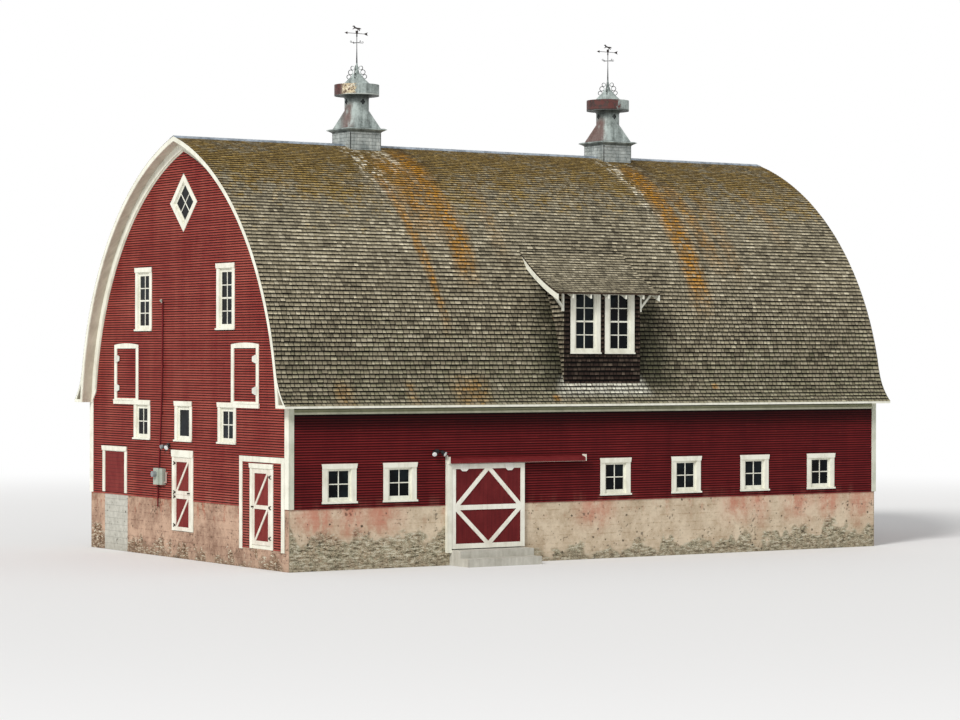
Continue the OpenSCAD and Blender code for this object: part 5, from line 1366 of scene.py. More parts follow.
@dataclass
class ShingleSlope:
    """Courses of wood shingles up one slope, drawn as thin wedges on a curve.

    The curve is given as points across and up; each shingle runs along it from its butt to its head, and
    stands off it by thick at the butt and thin at the head. The first course is double, and starter lifts its
    upper layer. Uneven and cupped are how far butts stray along the curve and off it, and no point lies
    further out than furthest."""

    curve: np.ndarray
    left: float
    right: float
    exposure: float = SHINGLE_COURSE
    overlap: float = 0.018
    widths: Span = (0.09, 0.22)
    gap: float = 0.002
    shortest: float = 0.05
    thick: float = 0.0135
    thin: float = 0.003
    starter: float = 0.007
    uneven: float = 0.0035
    cupped: float = 0.0012
    flip: bool = False
    seed: int = 11
    furthest: float = 6.508
    shift: float = 0.100
    skip: Callable[[np.ndarray, np.ndarray], np.ndarray] | None = None

    def on_curve(self, x: np.ndarray, t: np.ndarray, off: np.ndarray) -> np.ndarray:
        """Points of the slope.

        Args:
            x: places along the barn.
            t: lengths up the curve.
            off: distances out from it.

        Returns:
            The curve's point at t, moved out along its normal by off; turned half round for the back slope.
        """
        steps = np.diff(self.curve, axis=0)
        lengths = np.r_[0, np.cumsum(np.linalg.norm(steps, axis=1))]
        s, z = (np.interp(t, lengths, self.curve[:, k]) for k in (0, 1))
        tangents = np.gradient(self.curve, lengths, axis=0)
        ts, tz = (np.interp(t, lengths, tangents[:, k]) for k in (0, 1))
        size = np.hypot(ts, tz)
        s, z = np.minimum(s + off * tz / size, self.furthest), z - off * ts / size
        turn = -1.0 if self.flip else 1.0
        return np.stack([x * turn, -s * turn, z], axis=-1)

    def add_to(self, batch: Batch) -> None:
        """Adds the shingles.

        Args:
            batch: the mesh that they go in to.
        """
        total = float(np.linalg.norm(np.diff(self.curve, axis=0), axis=1).sum())
        rng = np.random.default_rng(self.seed)
        rows = []
        starts = [0.0, 0.0] + [k * self.exposure for k in range(1, int(total / self.exposure))]
        for number, start in enumerate(starts):
            widths = rng.uniform(*self.widths, int((self.right - self.left) / self.widths[0]))
            joints = self.left + np.cumsum(widths) - rng.uniform(0, self.shift)
            inside = joints[(joints > self.left + self.shortest) & (joints < self.right - self.shortest)]
            edges = np.r_[self.left, inside, self.right]
            left, right = edges[:-1] + self.gap, edges[1:] - self.gap
            left[0], right[-1] = self.left, self.right
            n = len(left)
            lift = self.starter if number == 1 else 0.0
            butt = start + (rng.normal(0, self.uneven, n) if number > 1 else np.zeros(n))
            head = np.full(n, start + self.exposure + self.overlap)
            rows.append(np.stack([left, right, np.maximum(butt, 0), head, rng.random(n), rng.random(n),
                                  rng.normal(0, self.cupped, n) + lift], 1))
        table = np.concatenate(rows)
        if self.skip is not None:
            middle = self.on_curve(table[:, :2].mean(1), table[:, 2:4].mean(1), np.zeros(len(table)))
            table = table[~self.skip(table[:, :2].mean(1), np.abs(middle[:, 1]))]
        left, right, butt, head, shade, tone, lift = table.T
        x = np.stack([left, right, right, left] * 2, 1)
        t = np.stack([butt] * 4 + [head] * 4, 1)
        outer_low, outer_high, inner = self.thick + lift, np.full(len(table), self.thin), 0 * lift
        off = np.stack([outer_low, outer_low, inner, inner, outer_high, outer_high, inner, inner], 1)
        batch.add_boxes(self.on_curve(x, t, off), OPEN_ENDED_FACES, rise=np.repeat([0.0, 1.0], 4), run=t,
                        shade=shade[:, None], tone=tone[:, None], side=ACROSS_BOX)


@dataclass
class Roof:
    """The shingled roof, its shells, its metal ridge and its painted edges.

    Each lap is how far shingles run in under a ventilator's base, the dormer's walls or the dormer's roof."""

    arch: GothicArch = GothicArch()
    dormer_curve: DormerCurve = DormerCurve()
    left: float = -10.599
    right: float = 10.509
    dormer_meet: float = 4.600
    dormer_edge: float = 1.810
    base_lap: float = 0.050
    dormer_lap: float = 0.060
    meet_lap: float = 0.100
    # Heights of the eave trim's frieze and bead, painted darker as shade under the eave, and of its painted
    # shadow lines
    frieze_z: Span = (4.2605, 4.3695)
    bead_z: Span = (4.180, 4.2605)
    shadows_z: tuple[Span, Span] = ((4.338, 4.3695), (4.180, 4.2035))
    # Where the gables' frieze under the rake and the corner boards' front and back faces lie, which are
    # painted greyer as shade
    gable_x: Span = (10.2502, 10.2765)
    gable_foot: float = 4.440
    corner_y: float = 6.1195
    corner_x: float = 10.2745
    soffit_out: float = 0.0005

    def under_base(self, x: np.ndarray, s: np.ndarray) -> np.ndarray:
        """Where shingles would lie inside a ventilator's base."""
        near = np.min([np.abs(x - place) for place in VENTILATORS], axis=0)
        return np.maximum(near, s) < BASE_HALF - self.base_lap

    def under_dormer(self, x: np.ndarray, s: np.ndarray) -> np.ndarray:
        """Where shingles would lie inside a base or the dormer."""
        beside, before = DORMER_HALF - self.dormer_lap, HALF_WIDTH - self.dormer_lap
        inside = (np.abs(x) < beside) & (s < before) & (s > self.dormer_meet + self.meet_lap)
        return inside | self.under_base(x, s)

    def build(self) -> None:
        """Builds the shingles of both slopes and of the dormer."""
        wood = ShingleWood("roof_shingles_weathered", srgb(82, 76, 62), srgb(132, 124, 104),
                           srgb(178, 170, 148)).material()
        outline = self.arch.outline()
        for name, slope in (
                ("shingles_front", ShingleSlope(outline, self.left, self.right, skip=self.under_dormer)),
                ("shingles_back", ShingleSlope(outline, -self.right, -self.left, flip=True, seed=12,
                                               skip=lambda x, s: self.under_base(-x, s))),
                ("shingles_dormer_roof", ShingleSlope(self.dormer_curve.outline(), -self.dormer_edge,
                                                      self.dormer_edge, seed=13, thick=0.012))):
            build_parts(name, wood, "shingles", slope)

    def dress(self) -> None:
        """Finishes the shells, the ridge, the rakes and the eaves."""
        soffit = Coat(srgb(206, 198, 182), srgb(164, 154, 136), 0.3, 0.7,
                      where=lambda g: abs(g.x).above(HALF_LENGTH + self.soffit_out))
        bare = bare_boards(lambda g: (g.z + g.y * 0.4).fold(0.22))
        coat_nodes(painted("roof_shell_boards", bare, soffit), "roof_front", "roof_back")
        deck = PlainTimber("dormer_deck_boards", srgb(84, 70, 54), srgb(50, 40, 32))
        coat_nodes(deck.material(), "dormer_roof")
        ridge = SheetMetal("ridge_cap_metal", srgb(156, 168, 180), srgb(90, 100, 110))
        coat_nodes(ridge.material(), "ridge_cap")
        coat_nodes(painted("eave_paint_white", white_paint(0.18)), "rake_boards")
        # Under the eave the white trim is painted darker as shade: an olive frieze, a grey bead, and black
        # painted shadow lines at the frieze's top and the bead's foot
        shaded = Coat(srgb(132, 134, 106), srgb(104, 106, 82), 0.3,
                      where=lambda g: g.z.within(*self.frieze_z))
        bead = Coat(srgb(192, 192, 170), srgb(150, 150, 130), 0.3, where=lambda g: g.z.within(*self.bead_z))
        deep = Coat(srgb(20, 20, 15), srgb(32, 32, 24), 0.3,
                    where=lambda g: largest([g.z.within(*heights) for heights in self.shadows_z]))
        coat_nodes(painted("eave_trim_paint", white_paint(0.14), shaded, bead, deep), "eave_trim")
        # The gables' frieze is painted greyer as shade under the rake, and the corner boards' faces on the
        # front and back darker than their gable faces as painted shade
        frieze = Coat(srgb(208, 203, 188), srgb(168, 162, 146), 0.3,
                      where=lambda g: abs(g.x).within(*self.gable_x) * g.z.above(self.gable_foot))
        corner = Coat(srgb(208, 210, 194), srgb(160, 164, 146), 0.25,
                      where=lambda g: abs(g.y).above(self.corner_y) * abs(g.x).below(self.corner_x))
        coat_nodes(painted("trim_paint_white", white_paint(0.12), frieze, corner), "corner_and_gable_trim")


@dataclass
class Dormer:
    """The dormer's shingled walls and its painted woodwork.

    A cheek's shingles are tucked in to the barn's roof, end short of the corner and stop under the eave. The
    front's stop clear of the roof, whose bare edge begins inside its underside."""

    arch: GothicArch = GothicArch()
    curve: DormerCurve = DormerCurve()
    foot: float = 5.000
    meet: float = 4.630
    sill: float = 5.850
    window_height: float = 1.800
    casing_half: float = 0.490
    casing_lap: float = 0.030
    places: tuple[float, ...] = (-0.60, 0.60)
    tucked: float = 0.020
    short: float = 0.001
    under_eave: float = 0.012
    clear: float = 0.005
    inside: float = 0.001

    def cheek_span(self, z: float) -> Span:
        """A cheek's inner and outer edge at a height: the arch, and the corner or the roof's underside."""
        inner = self.arch.reach(z) - self.tucked
        outer = min(HALF_WIDTH - self.short, self.curve.reach(z + self.under_eave))
        return inner, max(outer, inner + self.short)

    def cladding(self, side: Side, meet: float, outline: Outline, seed: int, blocks: Sequence[Block] = (),
                 clear: float = 0.0) -> Cladding:
        """One wall's shingles, up to clear below the roof's underside at meet from the barn's middle."""
        high = float(self.curve.under(np.array(meet))) - clear
        return Cladding(side, self.foot, high, outline, blocks, pitch=SHINGLE_COURSE, thin=0.002, thick=0.012,
                        widths=(0.09, 0.2), gap=0.004, drop=0.004, seed=seed)

    def build(self) -> None:
        """Builds the shingles of the front and of both cheeks."""
        dark = ShingleWood("wall_shingles_dark", srgb(24, 19, 17), srgb(46, 37, 32), srgb(84, 74, 64),
                           weathered=False).material()
        grey = ShingleWood("wall_shingles_grey", srgb(72, 66, 54), srgb(112, 104, 88), srgb(156, 148, 128),
                           weathered=False).material()
        casings = [Block(u - self.casing_half, self.sill + self.casing_lap, u + self.casing_half,
                         self.sill + self.window_height - self.casing_lap) for u in self.places]
        build_parts("shingles_dormer_front", dark, "dark_shingles", self.cladding(
            Side.DORMER_FRONT, HALF_WIDTH, lambda z: (-DORMER_HALF, DORMER_HALF), 21, casings, self.clear))
        build_parts("shingles_dormer_cheeks", grey, "dark_shingles",
                    self.cladding(Side.DORMER_LEFT, self.meet, self.cheek_span, 22),
                    self.cladding(Side.DORMER_RIGHT, self.meet,
                                  lambda z: tuple(-s for s in reversed(self.cheek_span(z))), 23))

    def dress(self) -> None:
        """Finishes the walls' boards, the windows and the rafter ends."""
        boards = PlainTimber("dormer_wall_boards", srgb(96, 62, 52), srgb(60, 38, 34))
        coat_nodes(boards.material(), "dormer_walls")
        coat_nodes(painted("dormer_paint_white", white_paint(0.16)), "dormer_windows")

        def under_deck(g: Graph) -> Value:
            """Where the place lies inside the circle of the roof's underside."""
            across, up = g.y + self.curve.centre[0], g.z - self.curve.centre[1]
            return (across * across + up * up).below((self.curve.radius - self.inside) ** 2)

        edge = Coat(srgb(74, 62, 48), srgb(48, 40, 32), 0.4, 0.8, where=under_deck)
        coat_nodes(painted("dormer_bracket_paint", white_paint(0.12), edge), "dormer_brackets")


# Windows


@dataclass(frozen=True)
class Bar:
    """One glazing bar in a wall's face, from one place to another, both along the wall and up."""

    start: Span
    end: Span
    width: float = 0.029


@dataclass(frozen=True)
class Light:
    """The glass of one kind of upright window: its foot, its head, half its width and how it is divided.

    With meeting, the middle bar is the wider rail where two sashes meet."""

    low: float
    high: float
    half: float = 0.309
    columns: int = 2
    rows: int = 2
    meeting: bool = False
    rail: float = 0.050

    def bars(self, place: float) -> list[Bar]:
        """The bars of one window.

        Args:
            place: its middle along the wall.

        Returns:
            The bars, at equal steps across and up.
        """
        left, right = place - self.half, place + self.half
        across = [left + 2 * self.half * k / self.columns for k in range(1, self.columns)]
        bars = [Bar((u, self.low), (u, self.high)) for u in across]
        for k in range(1, self.rows):
            z = self.low + (self.high - self.low) * k / self.rows
            wide = self.rail if self.meeting and 2 * k == self.rows else Bar.width
            bars.append(Bar((left, z), (right, z), wide))
        return bars


@dataclass
class Glazing:
    """The bars that divide the windows' glass, with a chamfered front.

    Front and back are depths in from the wall's face. The dormer's bars stand deeper by its shift."""

    front: float = 0.033
    back: float = 0.067
    chamfer: float = 0.010
    narrowed: float = 0.62
    eave: Light = Light(1.961, 2.674)
    low: Light = Light(3.491, 4.234)
    tall: Light = Light(6.651, 8.094, rows=4, meeting=True)
    dormer: Light = Light(6.005, 7.540, 0.320, rows=4, meeting=True)
    dormer_shift: float = 0.010
    barred: tuple[float, ...] = (3.475, 8.715)
    cross: float = 0.364

    def add_bars(self, batch: Batch, side: Side, bars: Sequence[Bar], shift: float) -> None:
        """Adds bars as chamfered blocks: a wide block through the glass and a narrower one in front of it.

        Args:
            batch: the mesh that they go in to.
            side: the wall.
            bars: the bars.
            shift: how much deeper they stand than in the main walls.
        """
        start, end = (np.array([getattr(bar, key) for bar in bars]) for key in ("start", "end"))
        run = end - start
        run /= np.linalg.norm(run, axis=1)[:, None]
        across = np.stack([run[:, 1], -run[:, 0]], 1)
        half = np.array([bar.width for bar in bars])[:, None] / 2
        step = self.front + self.chamfer
        for near, far, near_half in ((step, self.back, half), (self.front, step, half * self.narrowed)):
            corners = []
            for middle in (start, end):
                for sign, depth, reach in ((-1, near, near_half), (1, near, near_half), (1, far, half),
                                           (-1, far, half)):
                    spot = middle + across * sign * reach
                    corners.append(np.stack([spot[:, 0], np.full(len(bars), depth + shift), spot[:, 1]], 1))
            batch.add_boxes(side.value.place(np.stack(corners, 1)))

    def diamond_bars(self) -> list[Bar]:
        """The two crossed bars of the diamond window."""
        reach = self.cross / math.sqrt(2)
        left, right, low, high = HALF_WIDTH - reach, HALF_WIDTH + reach, DIAMOND_Z - reach, DIAMOND_Z + reach
        return [Bar((left, low), (right, high)), Bar((right, low), (left, high))]

    def build(self, siding: Siding, dormer: Dormer) -> None:
        """Builds the bars of every window.

        Args:
            siding: where the main windows stand.
            dormer: where the dormer's windows stand.
        """
        white = painted("glazing_bar_paint", white_paint(0.10))
        upper = [self.tall.bars(place) for place in siding.tall_places] + [self.diamond_bars()]
        for name, side, light, places, more, shift in (
                ("front", Side.FRONT, self.eave, siding.front_places, [], 0.0),
                ("back", Side.BACK, self.eave, siding.back_places, [], 0.0),
                ("door_gable", Side.DOOR_GABLE, self.low, self.barred, upper, 0.0),
                ("far_gable", Side.FAR_GABLE, self.low, siding.low_places, upper, 0.0),
                ("dormer", Side.DORMER_FRONT, self.dormer, dormer.places, [], self.dormer_shift)):
            batch = Batch()
            for bars in [light.bars(place) for place in places] + more:
                self.add_bars(batch, side, bars, shift)
            batch.build(f"glazing_bars_{name}", white, "white_trim")

    def dress(self) -> None:
        """Finishes the frames and the glass."""
        coat_nodes(painted("window_paint_white", white_paint(0.14)), "front_windows", "back_windows",
                   "door_gable_windows", "far_gable_windows")
        coat_nodes(PaneGlass().material(), "window_glass")


# Foundation


@dataclass
class RubbleFace:
    """The weathered face of one foundation wall, as a grid of heights over its flat block.

    Rest is how far in from the wall's face a height of nought lies, and depth how far a height of 1 stands
    before that. Rough gives the height of the rubble's top at places along the wall. At its edges the face
    falls to nought over the border and ends tucked in, but the border at the top begins at over_top."""

    name: str
    side: Side
    length: float
    inset: float = 0.016
    high: float = 1.664
    spacing: float = 0.032
    depth: float = 0.0112
    rest: float = 0.0148
    border: float = 0.05
    over_top: float = 0.02
    tucked: float = 0.002
    stone: float = 0.19
    pebble: float = 0.085
    form_board: float = 0.24
    holes: Sequence[Block] = ()
    rough: Sequence[Span] = ((0.0, 0.85),)
    seed: int = 31

    def heights(self, u: np.ndarray, z: np.ndarray) -> tuple[np.ndarray, np.ndarray]:
        """The face's relief: cloudy noise in two sizes, plus the roundness of each stone where the wall is
        rubble, less pits and the lines between form boards.

        Args:
            u: places along the wall.
            z: their heights over the ground.

        Returns:
            The relief at each place, and how far the wall is rubble there.
        """
        at = np.stack([u, z], 1)
        cloud = lattice_noise(at, 0.55, self.seed) * 0.6 + lattice_noise(at, 0.17, self.seed + 1) * 0.4
        lumps = lattice_noise(at, 0.07, self.seed + 2)
        stones = np.clip(stone_noise(at + cloud[:, None] * 0.1, self.stone, self.seed + 3) * 2.2, 0, 1)
        small = np.clip(stone_noise(at, self.pebble, self.seed + 4) * 2.0, 0, 1)
        rough_top = np.interp(u, *np.array(self.rough).T)
        rubble = np.clip((rough_top + (cloud - 0.5) * 1.1 - z) / 0.25, 0, 1)
        height = 0.30 + 0.35 * cloud + 0.25 * lumps + rubble * (0.55 * stones + 0.25 * small - 0.42)
        pits = lattice_noise(at, 0.045, self.seed + 5) * lattice_noise(at, 0.31, self.seed + 6)
        height -= np.clip((pits - 0.56) / 0.1, 0, 1) * 0.8
        board = np.abs((z / self.form_board + cloud * 0.12) % 1.0 - 0.5)
        height -= (1 - rubble) * np.clip((0.06 - board) / 0.06, 0, 1) * 0.32
        return np.clip(height, 0, 1), rubble

    def build(self, material: Material) -> None:
        """Builds the face as a grid that leaves the holes free.

        Args:
            material: the concrete.
        """
        left, right = self.inset, self.length - self.inset
        columns, rows = int((right - left) / self.spacing) + 1, int(self.high / self.spacing) + 1
        u, z = (grid.ravel() for grid in np.meshgrid(np.linspace(left, right, columns),
                                                     np.linspace(0.0, self.high, rows)))
        height, rubble = self.heights(u, z)
        edge = np.minimum.reduce([u - left, right - u, self.high - z + self.over_top])
        height = height * np.clip(edge / self.border, 0, 1)
        v = self.rest - height * self.depth + np.where(edge < self.tucked, self.tucked, 0.0)
        index = np.arange(rows * columns).reshape(rows, columns)
        quads = np.stack([index[:-1, :-1], index[:-1, 1:], index[1:, 1:], index[1:, :-1]], -1).reshape(-1, 4)
        middle_u, middle_z = u[quads].mean(1), z[quads].mean(1)
        free = np.ones(len(quads), bool)
        for hole in self.holes:
            beside = (middle_u > hole.left) & (middle_u < hole.right)
            free &= ~(beside & (middle_z > hole.low) & (middle_z < hole.high))
        batch = Batch()
        batch.add(self.side.value.place(np.stack([u, v, z], 1)), quads[free], relief=height, rubble=rubble)
        batch.build(self.name, material, "concrete", smooth=True)


@dataclass
class Foundation:
    """The rubble foundation, the floors and the step.

    Bleeds are where the siding's red has run down the front, each a place along the barn and half a width.
    The tops of the rubble are places along their wall and heights. The block patch lies between two sums of
    a place along and a place across the barn, and between two heights."""

    front_bleeds: tuple[Span, ...] = (
        (-9.45, 0.45), (-0.20, 0.45), (-8.30, 0.35), (-7.35, 0.45), (-9.10, 0.20), (-3.20, 0.30),
        (4.95, 0.40), (5.75, 0.25), (7.30, 0.40), (8.45, 0.30), (9.70, 0.40))
    front_face: float = -6.110
    front_rough: tuple[Span, ...] = (
        (0.0, 1.25), (1.2, 1.05), (4.8, 0.95), (7.6, 0.45), (15.0, 0.40), (17.5, 0.75), (20.5, 0.80))
    gable_rough: tuple[Span, ...] = ((0.0, 0.60), (4.0, 0.30), (12.2, 0.30))
    slider_hole: Block = Block(5.160, 0.42, 7.460, 2.0)
    door_holes: tuple[Block, ...] = (Block(5.515, 0.77, 6.60, 2.0), Block(9.60, 0.53, 11.83, 2.0))
    block_patch: tuple[Span, Span] = ((-6.66, -5.10), (0.0, 1.67))
    coarse: float = 0.040

    def build(self) -> None:
        """Builds the faces of the four foundation walls."""
        bleeds = tuple((place + self.front_face, half) for place, half in self.front_bleeds)
        cream = RubbleConcrete("foundation_concrete_cream", bleeds=bleeds).material()
        plain = RubbleConcrete("foundation_concrete_back", bleeding=0.45).material()
        tan = RubbleConcrete("foundation_concrete_tan", srgb(192, 162, 140), srgb(126, 98, 82),
                             stone=srgb(140, 112, 88), bleed=srgb(164, 90, 66), bleeding=0.75,
                             patch=self.block_patch).material()
        length, width = 2 * HALF_LENGTH, 2 * HALF_WIDTH
        RubbleFace("foundation_face_front", Side.FRONT, length, rough=self.front_rough,
                   holes=[self.slider_hole]).build(cream)
        RubbleFace("foundation_face_back", Side.BACK, length, spacing=self.coarse, seed=41).build(plain)
        RubbleFace("foundation_face_far_gable", Side.FAR_GABLE, width, spacing=self.coarse,
                   seed=51).build(plain)
        RubbleFace("foundation_face_door_gable", Side.DOOR_GABLE, width, rough=self.gable_rough,
                   holes=self.door_holes, seed=61).build(tan)

    def dress(self) -> None:
        """Finishes the solid foundation, the sills, the floors and the step."""
        core = Coat(srgb(178, 162, 140), srgb(132, 116, 98), 0.4, 0.9)
        coat_nodes(painted("foundation_core_concrete", core, depth=0.006), "foundation_front",
                   "foundation_back", "foundation_door_gable", "foundation_far_gable")
        slab = Coat(srgb(198, 196, 186), srgb(154, 150, 138), 0.36, 0.85)
        coat_nodes(painted("cast_concrete_grey", slab, specular=0.25, depth=0.005), "door_sills",
                   "floor_slab", "door_step")
        coat_nodes(PlainTimber("loft_floor_boards").material(), "loft_floor")


# Doors and walls


def before_gable(g: Graph, out: float) -> Value:
    """Where a place stands further out from the door gable's face than a distance."""
    return g.x.below(-HALF_LENGTH - out)


def before_front(g: Graph, out: float) -> Value:
    """Where a place stands further out from the front wall's face than a distance."""
    return g.y.below(-HALF_WIDTH - out)


@dataclass
class Walls:
    """The boarded shells behind the siding."""

    nodes: tuple[str, ...] = ("front_wall", "front_wall_over_door", "back_wall", "door_gable_wall_lower",
                              "door_gable_wall_upper", "corner_door_bay", "far_gable_wall")
    board: float = 0.20
    edge: float = 0.010

    def dress(self) -> None:
        """Finishes the walls: bare boards inside, red paint on the outer face and its edges."""
        outer = red_paint(0.3, where=lambda g: abs(g.x).above(HALF_LENGTH - self.edge).larger(
            abs(g.y).above(HALF_WIDTH - self.edge)))
        coat_nodes(painted("wall_boards", bare_boards(lambda g: g.z.fold(self.board)), outer), *self.nodes)


@dataclass
class Doors:
    """The walk doors, the sliding door and the fixed doors, with their frames.

    The rails, irons, plates and the panel are told from the boards by how far out from their wall's face they
    begin. Hinges are a place across the barn, half a width and a height that they stay under."""

    rails: float = 0.0056
    irons: float = 0.0256
    irons_front: float = 0.0475
    middle_hinges: tuple[float, float, float] = (0.52, 0.10, 2.80)
    corner_hinges: tuple[float, float, float] = (-5.13, 0.09, 2.62)
    loft_boards: float = -0.0030
    loft_plates: float = 0.0385
    loft_sill: float = 4.550
    blind_panel: float = 0.0125
    blind_board: float = 0.11
    leaf_board: float = 0.13
    slider_board: float = 0.14
    slider_rails: float = 0.0605
    slider_plates: float = 0.0805
    slider_head: float = 2.7921
    track: Span = (2.800, 2.843)
    track_out: float = 0.0575
    track_half: float = 0.0045
    caps: Span = (-5.281, -0.694)
    cap_half: float = 0.0125
    post: Span = (-5.320, -5.160)
    post_head: float = 2.810
    post_brace: float = -5.270
    lip_out: float = 0.165
    lip_head: float = 2.8135

    @staticmethod
    def hinge(place: tuple[float, float, float], where: Mask) -> Coat:
        """The plates of a frame's hinges, at a place and where a mask also says."""
        y, half, head = place
        return Coat(srgb(66, 60, 56), srgb(96, 74, 60), 0.3, 0.55, 0.5,
                    where=lambda g: where(g) * g.y.near(y, half, 0.01) * g.z.below(head))

    def dress_gable(self) -> None:
        """Finishes the doors and frames of the door gable."""
        boards = sun_bleached_and_lit(red_paint(0.35, groove=lambda g: (g.y + 0.02).fold(self.leaf_board)))
        rails = Coat(srgb(230, 226, 212), srgb(186, 170, 154), 0.22,
                     where=lambda g: before_gable(g, self.rails))
        iron = Coat(srgb(58, 52, 48), srgb(92, 70, 56), 0.3, 0.55, 0.5,
                    where=lambda g: before_gable(g, self.irons))
        coat_nodes(painted("walk_door_paint", boards, rails, iron), "middle_door_upper_leaf",
                   "middle_door_lower_leaf", "corner_door_leaf")
        hinge = self.hinge(self.middle_hinges, lambda g: before_gable(g, self.irons) * g.x.above(
            -HALF_LENGTH - self.irons_front))
        coat_nodes(painted("door_frame_paint", white_paint(0.16), hinge), "middle_door_frame")
        hinge = self.hinge(self.corner_hinges, lambda g: before_gable(g, self.irons))
        coat_nodes(painted("bay_frame_paint", white_paint(0.2), hinge), "corner_door_frame")
        leaf = sun_bleached_and_lit(red_paint(0.35, where=lambda g: g.x.above(-HALF_LENGTH - self.loft_boards)))
        plate = Coat(srgb(226, 226, 216), srgb(170, 170, 160), 0.25, 0.5, 0.1,
                     where=lambda g: before_gable(g, self.loft_plates) * g.z.above(self.loft_sill))
        coat_nodes(painted("loft_door_paint", white_paint(0.16), leaf, plate), "loft_doors")
        # A paler red like the door gable's other paint: partly bleached by the sun, partly painted light
        panel = Coat(srgb(106, 27, 27), srgb(132, 54, 48), 0.35, 0.7, dark=0.6,
                     groove=lambda g: g.z.fold(self.blind_board),
                     where=lambda g: g.x.above(-HALF_LENGTH - self.blind_panel))
        coat_nodes(painted("blind_door_paint", white_paint(0.22), panel), "blind_door")

    def dress_slider(self) -> None:
        """Finishes the sliding door, its track, hood and post."""
        # The front's darker red, as on its siding: partly painted shade
        boards = replace(red_paint(0.3, groove=lambda g: (g.x + 0.04).fold(self.slider_board), dark=0.3),
                         colour=srgb(90, 17, 21), stain=srgb(112, 33, 34))
        rails = Coat(srgb(240, 240, 228), srgb(204, 196, 180), 0.18,
                     where=lambda g: before_front(g, self.slider_rails) * g.z.below(self.slider_head))
        plates = Coat(srgb(236, 236, 228), srgb(190, 186, 174), 0.2, 0.5, 0.1,
                      where=lambda g: before_front(g, self.slider_plates) * g.z.below(self.slider_head))
        wheels = Coat(srgb(70, 64, 60), srgb(98, 74, 58), 0.4, 0.5, 0.6,
                      where=lambda g: g.z.above(self.slider_head))
        coat_nodes(painted("sliding_door_paint", boards, rails, plates, wheels), "sliding_door")
        caps = white_paint(0.2, lambda g: largest([g.x.near(x, self.cap_half, 0.001) for x in self.caps])
                           * g.z.above(self.track[0]))
        post = white_paint(0.2, lambda g: g.x.within(*self.post) * g.z.below(self.post_head).larger(
            g.x.below(self.post_brace)))
        lip = white_paint(0.5, lambda g: g.z.below(self.lip_head) * before_front(g, self.lip_out))
        track = Coat(srgb(84, 76, 72), srgb(110, 78, 60), 0.4, 0.5, 0.5,
                     where=lambda g: g.z.within(*self.track) * g.y.near(-HALF_WIDTH - self.track_out,
                                                                       self.track_half, 0.0002))
        coat_nodes(painted("hood_paint", red_paint(0.3), caps, post, lip, track), "sliding_door_track")

    def dress(self) -> None:
        """Finishes every door and frame."""
        self.dress_gable()
        self.dress_slider()


# Ventilators and fittings


@dataclass
class Ventilators:
    """The two sheet-metal ventilators, each with its own rust, their bases and their vanes."""

    patched: SheetMetal = SheetMetal("ventilator_metal_patched", centre=VENTILATORS[0], rusted=True,
                                     edge=-0.44, patch=0.02)
    rusted: SheetMetal = SheetMetal("ventilator_metal_rusted", centre=VENTILATORS[1], rusted=True,
                                    edge=0.30, flank=-1.0)
    base: SheetMetal = SheetMetal("ventilator_base_metal", srgb(190, 196, 192), srgb(134, 142, 140),
                                  corner=(VENTILATORS[1], BASE_HALF))
    iron: Coat = Coat(srgb(52, 52, 54), srgb(66, 50, 42), 0.4, 0.6, 0.4)

    def dress(self) -> None:
        """Finishes both ventilators, the bases and the vanes."""
        for metal, node in ((self.patched, "ventilator_1"), (self.rusted, "ventilator_2"),
                            (self.base, "ventilator_bases")):
            coat_nodes(metal.material(), node)
        coat_nodes(painted("vane_iron", self.iron), "weathervane_1", "weathervane_2")


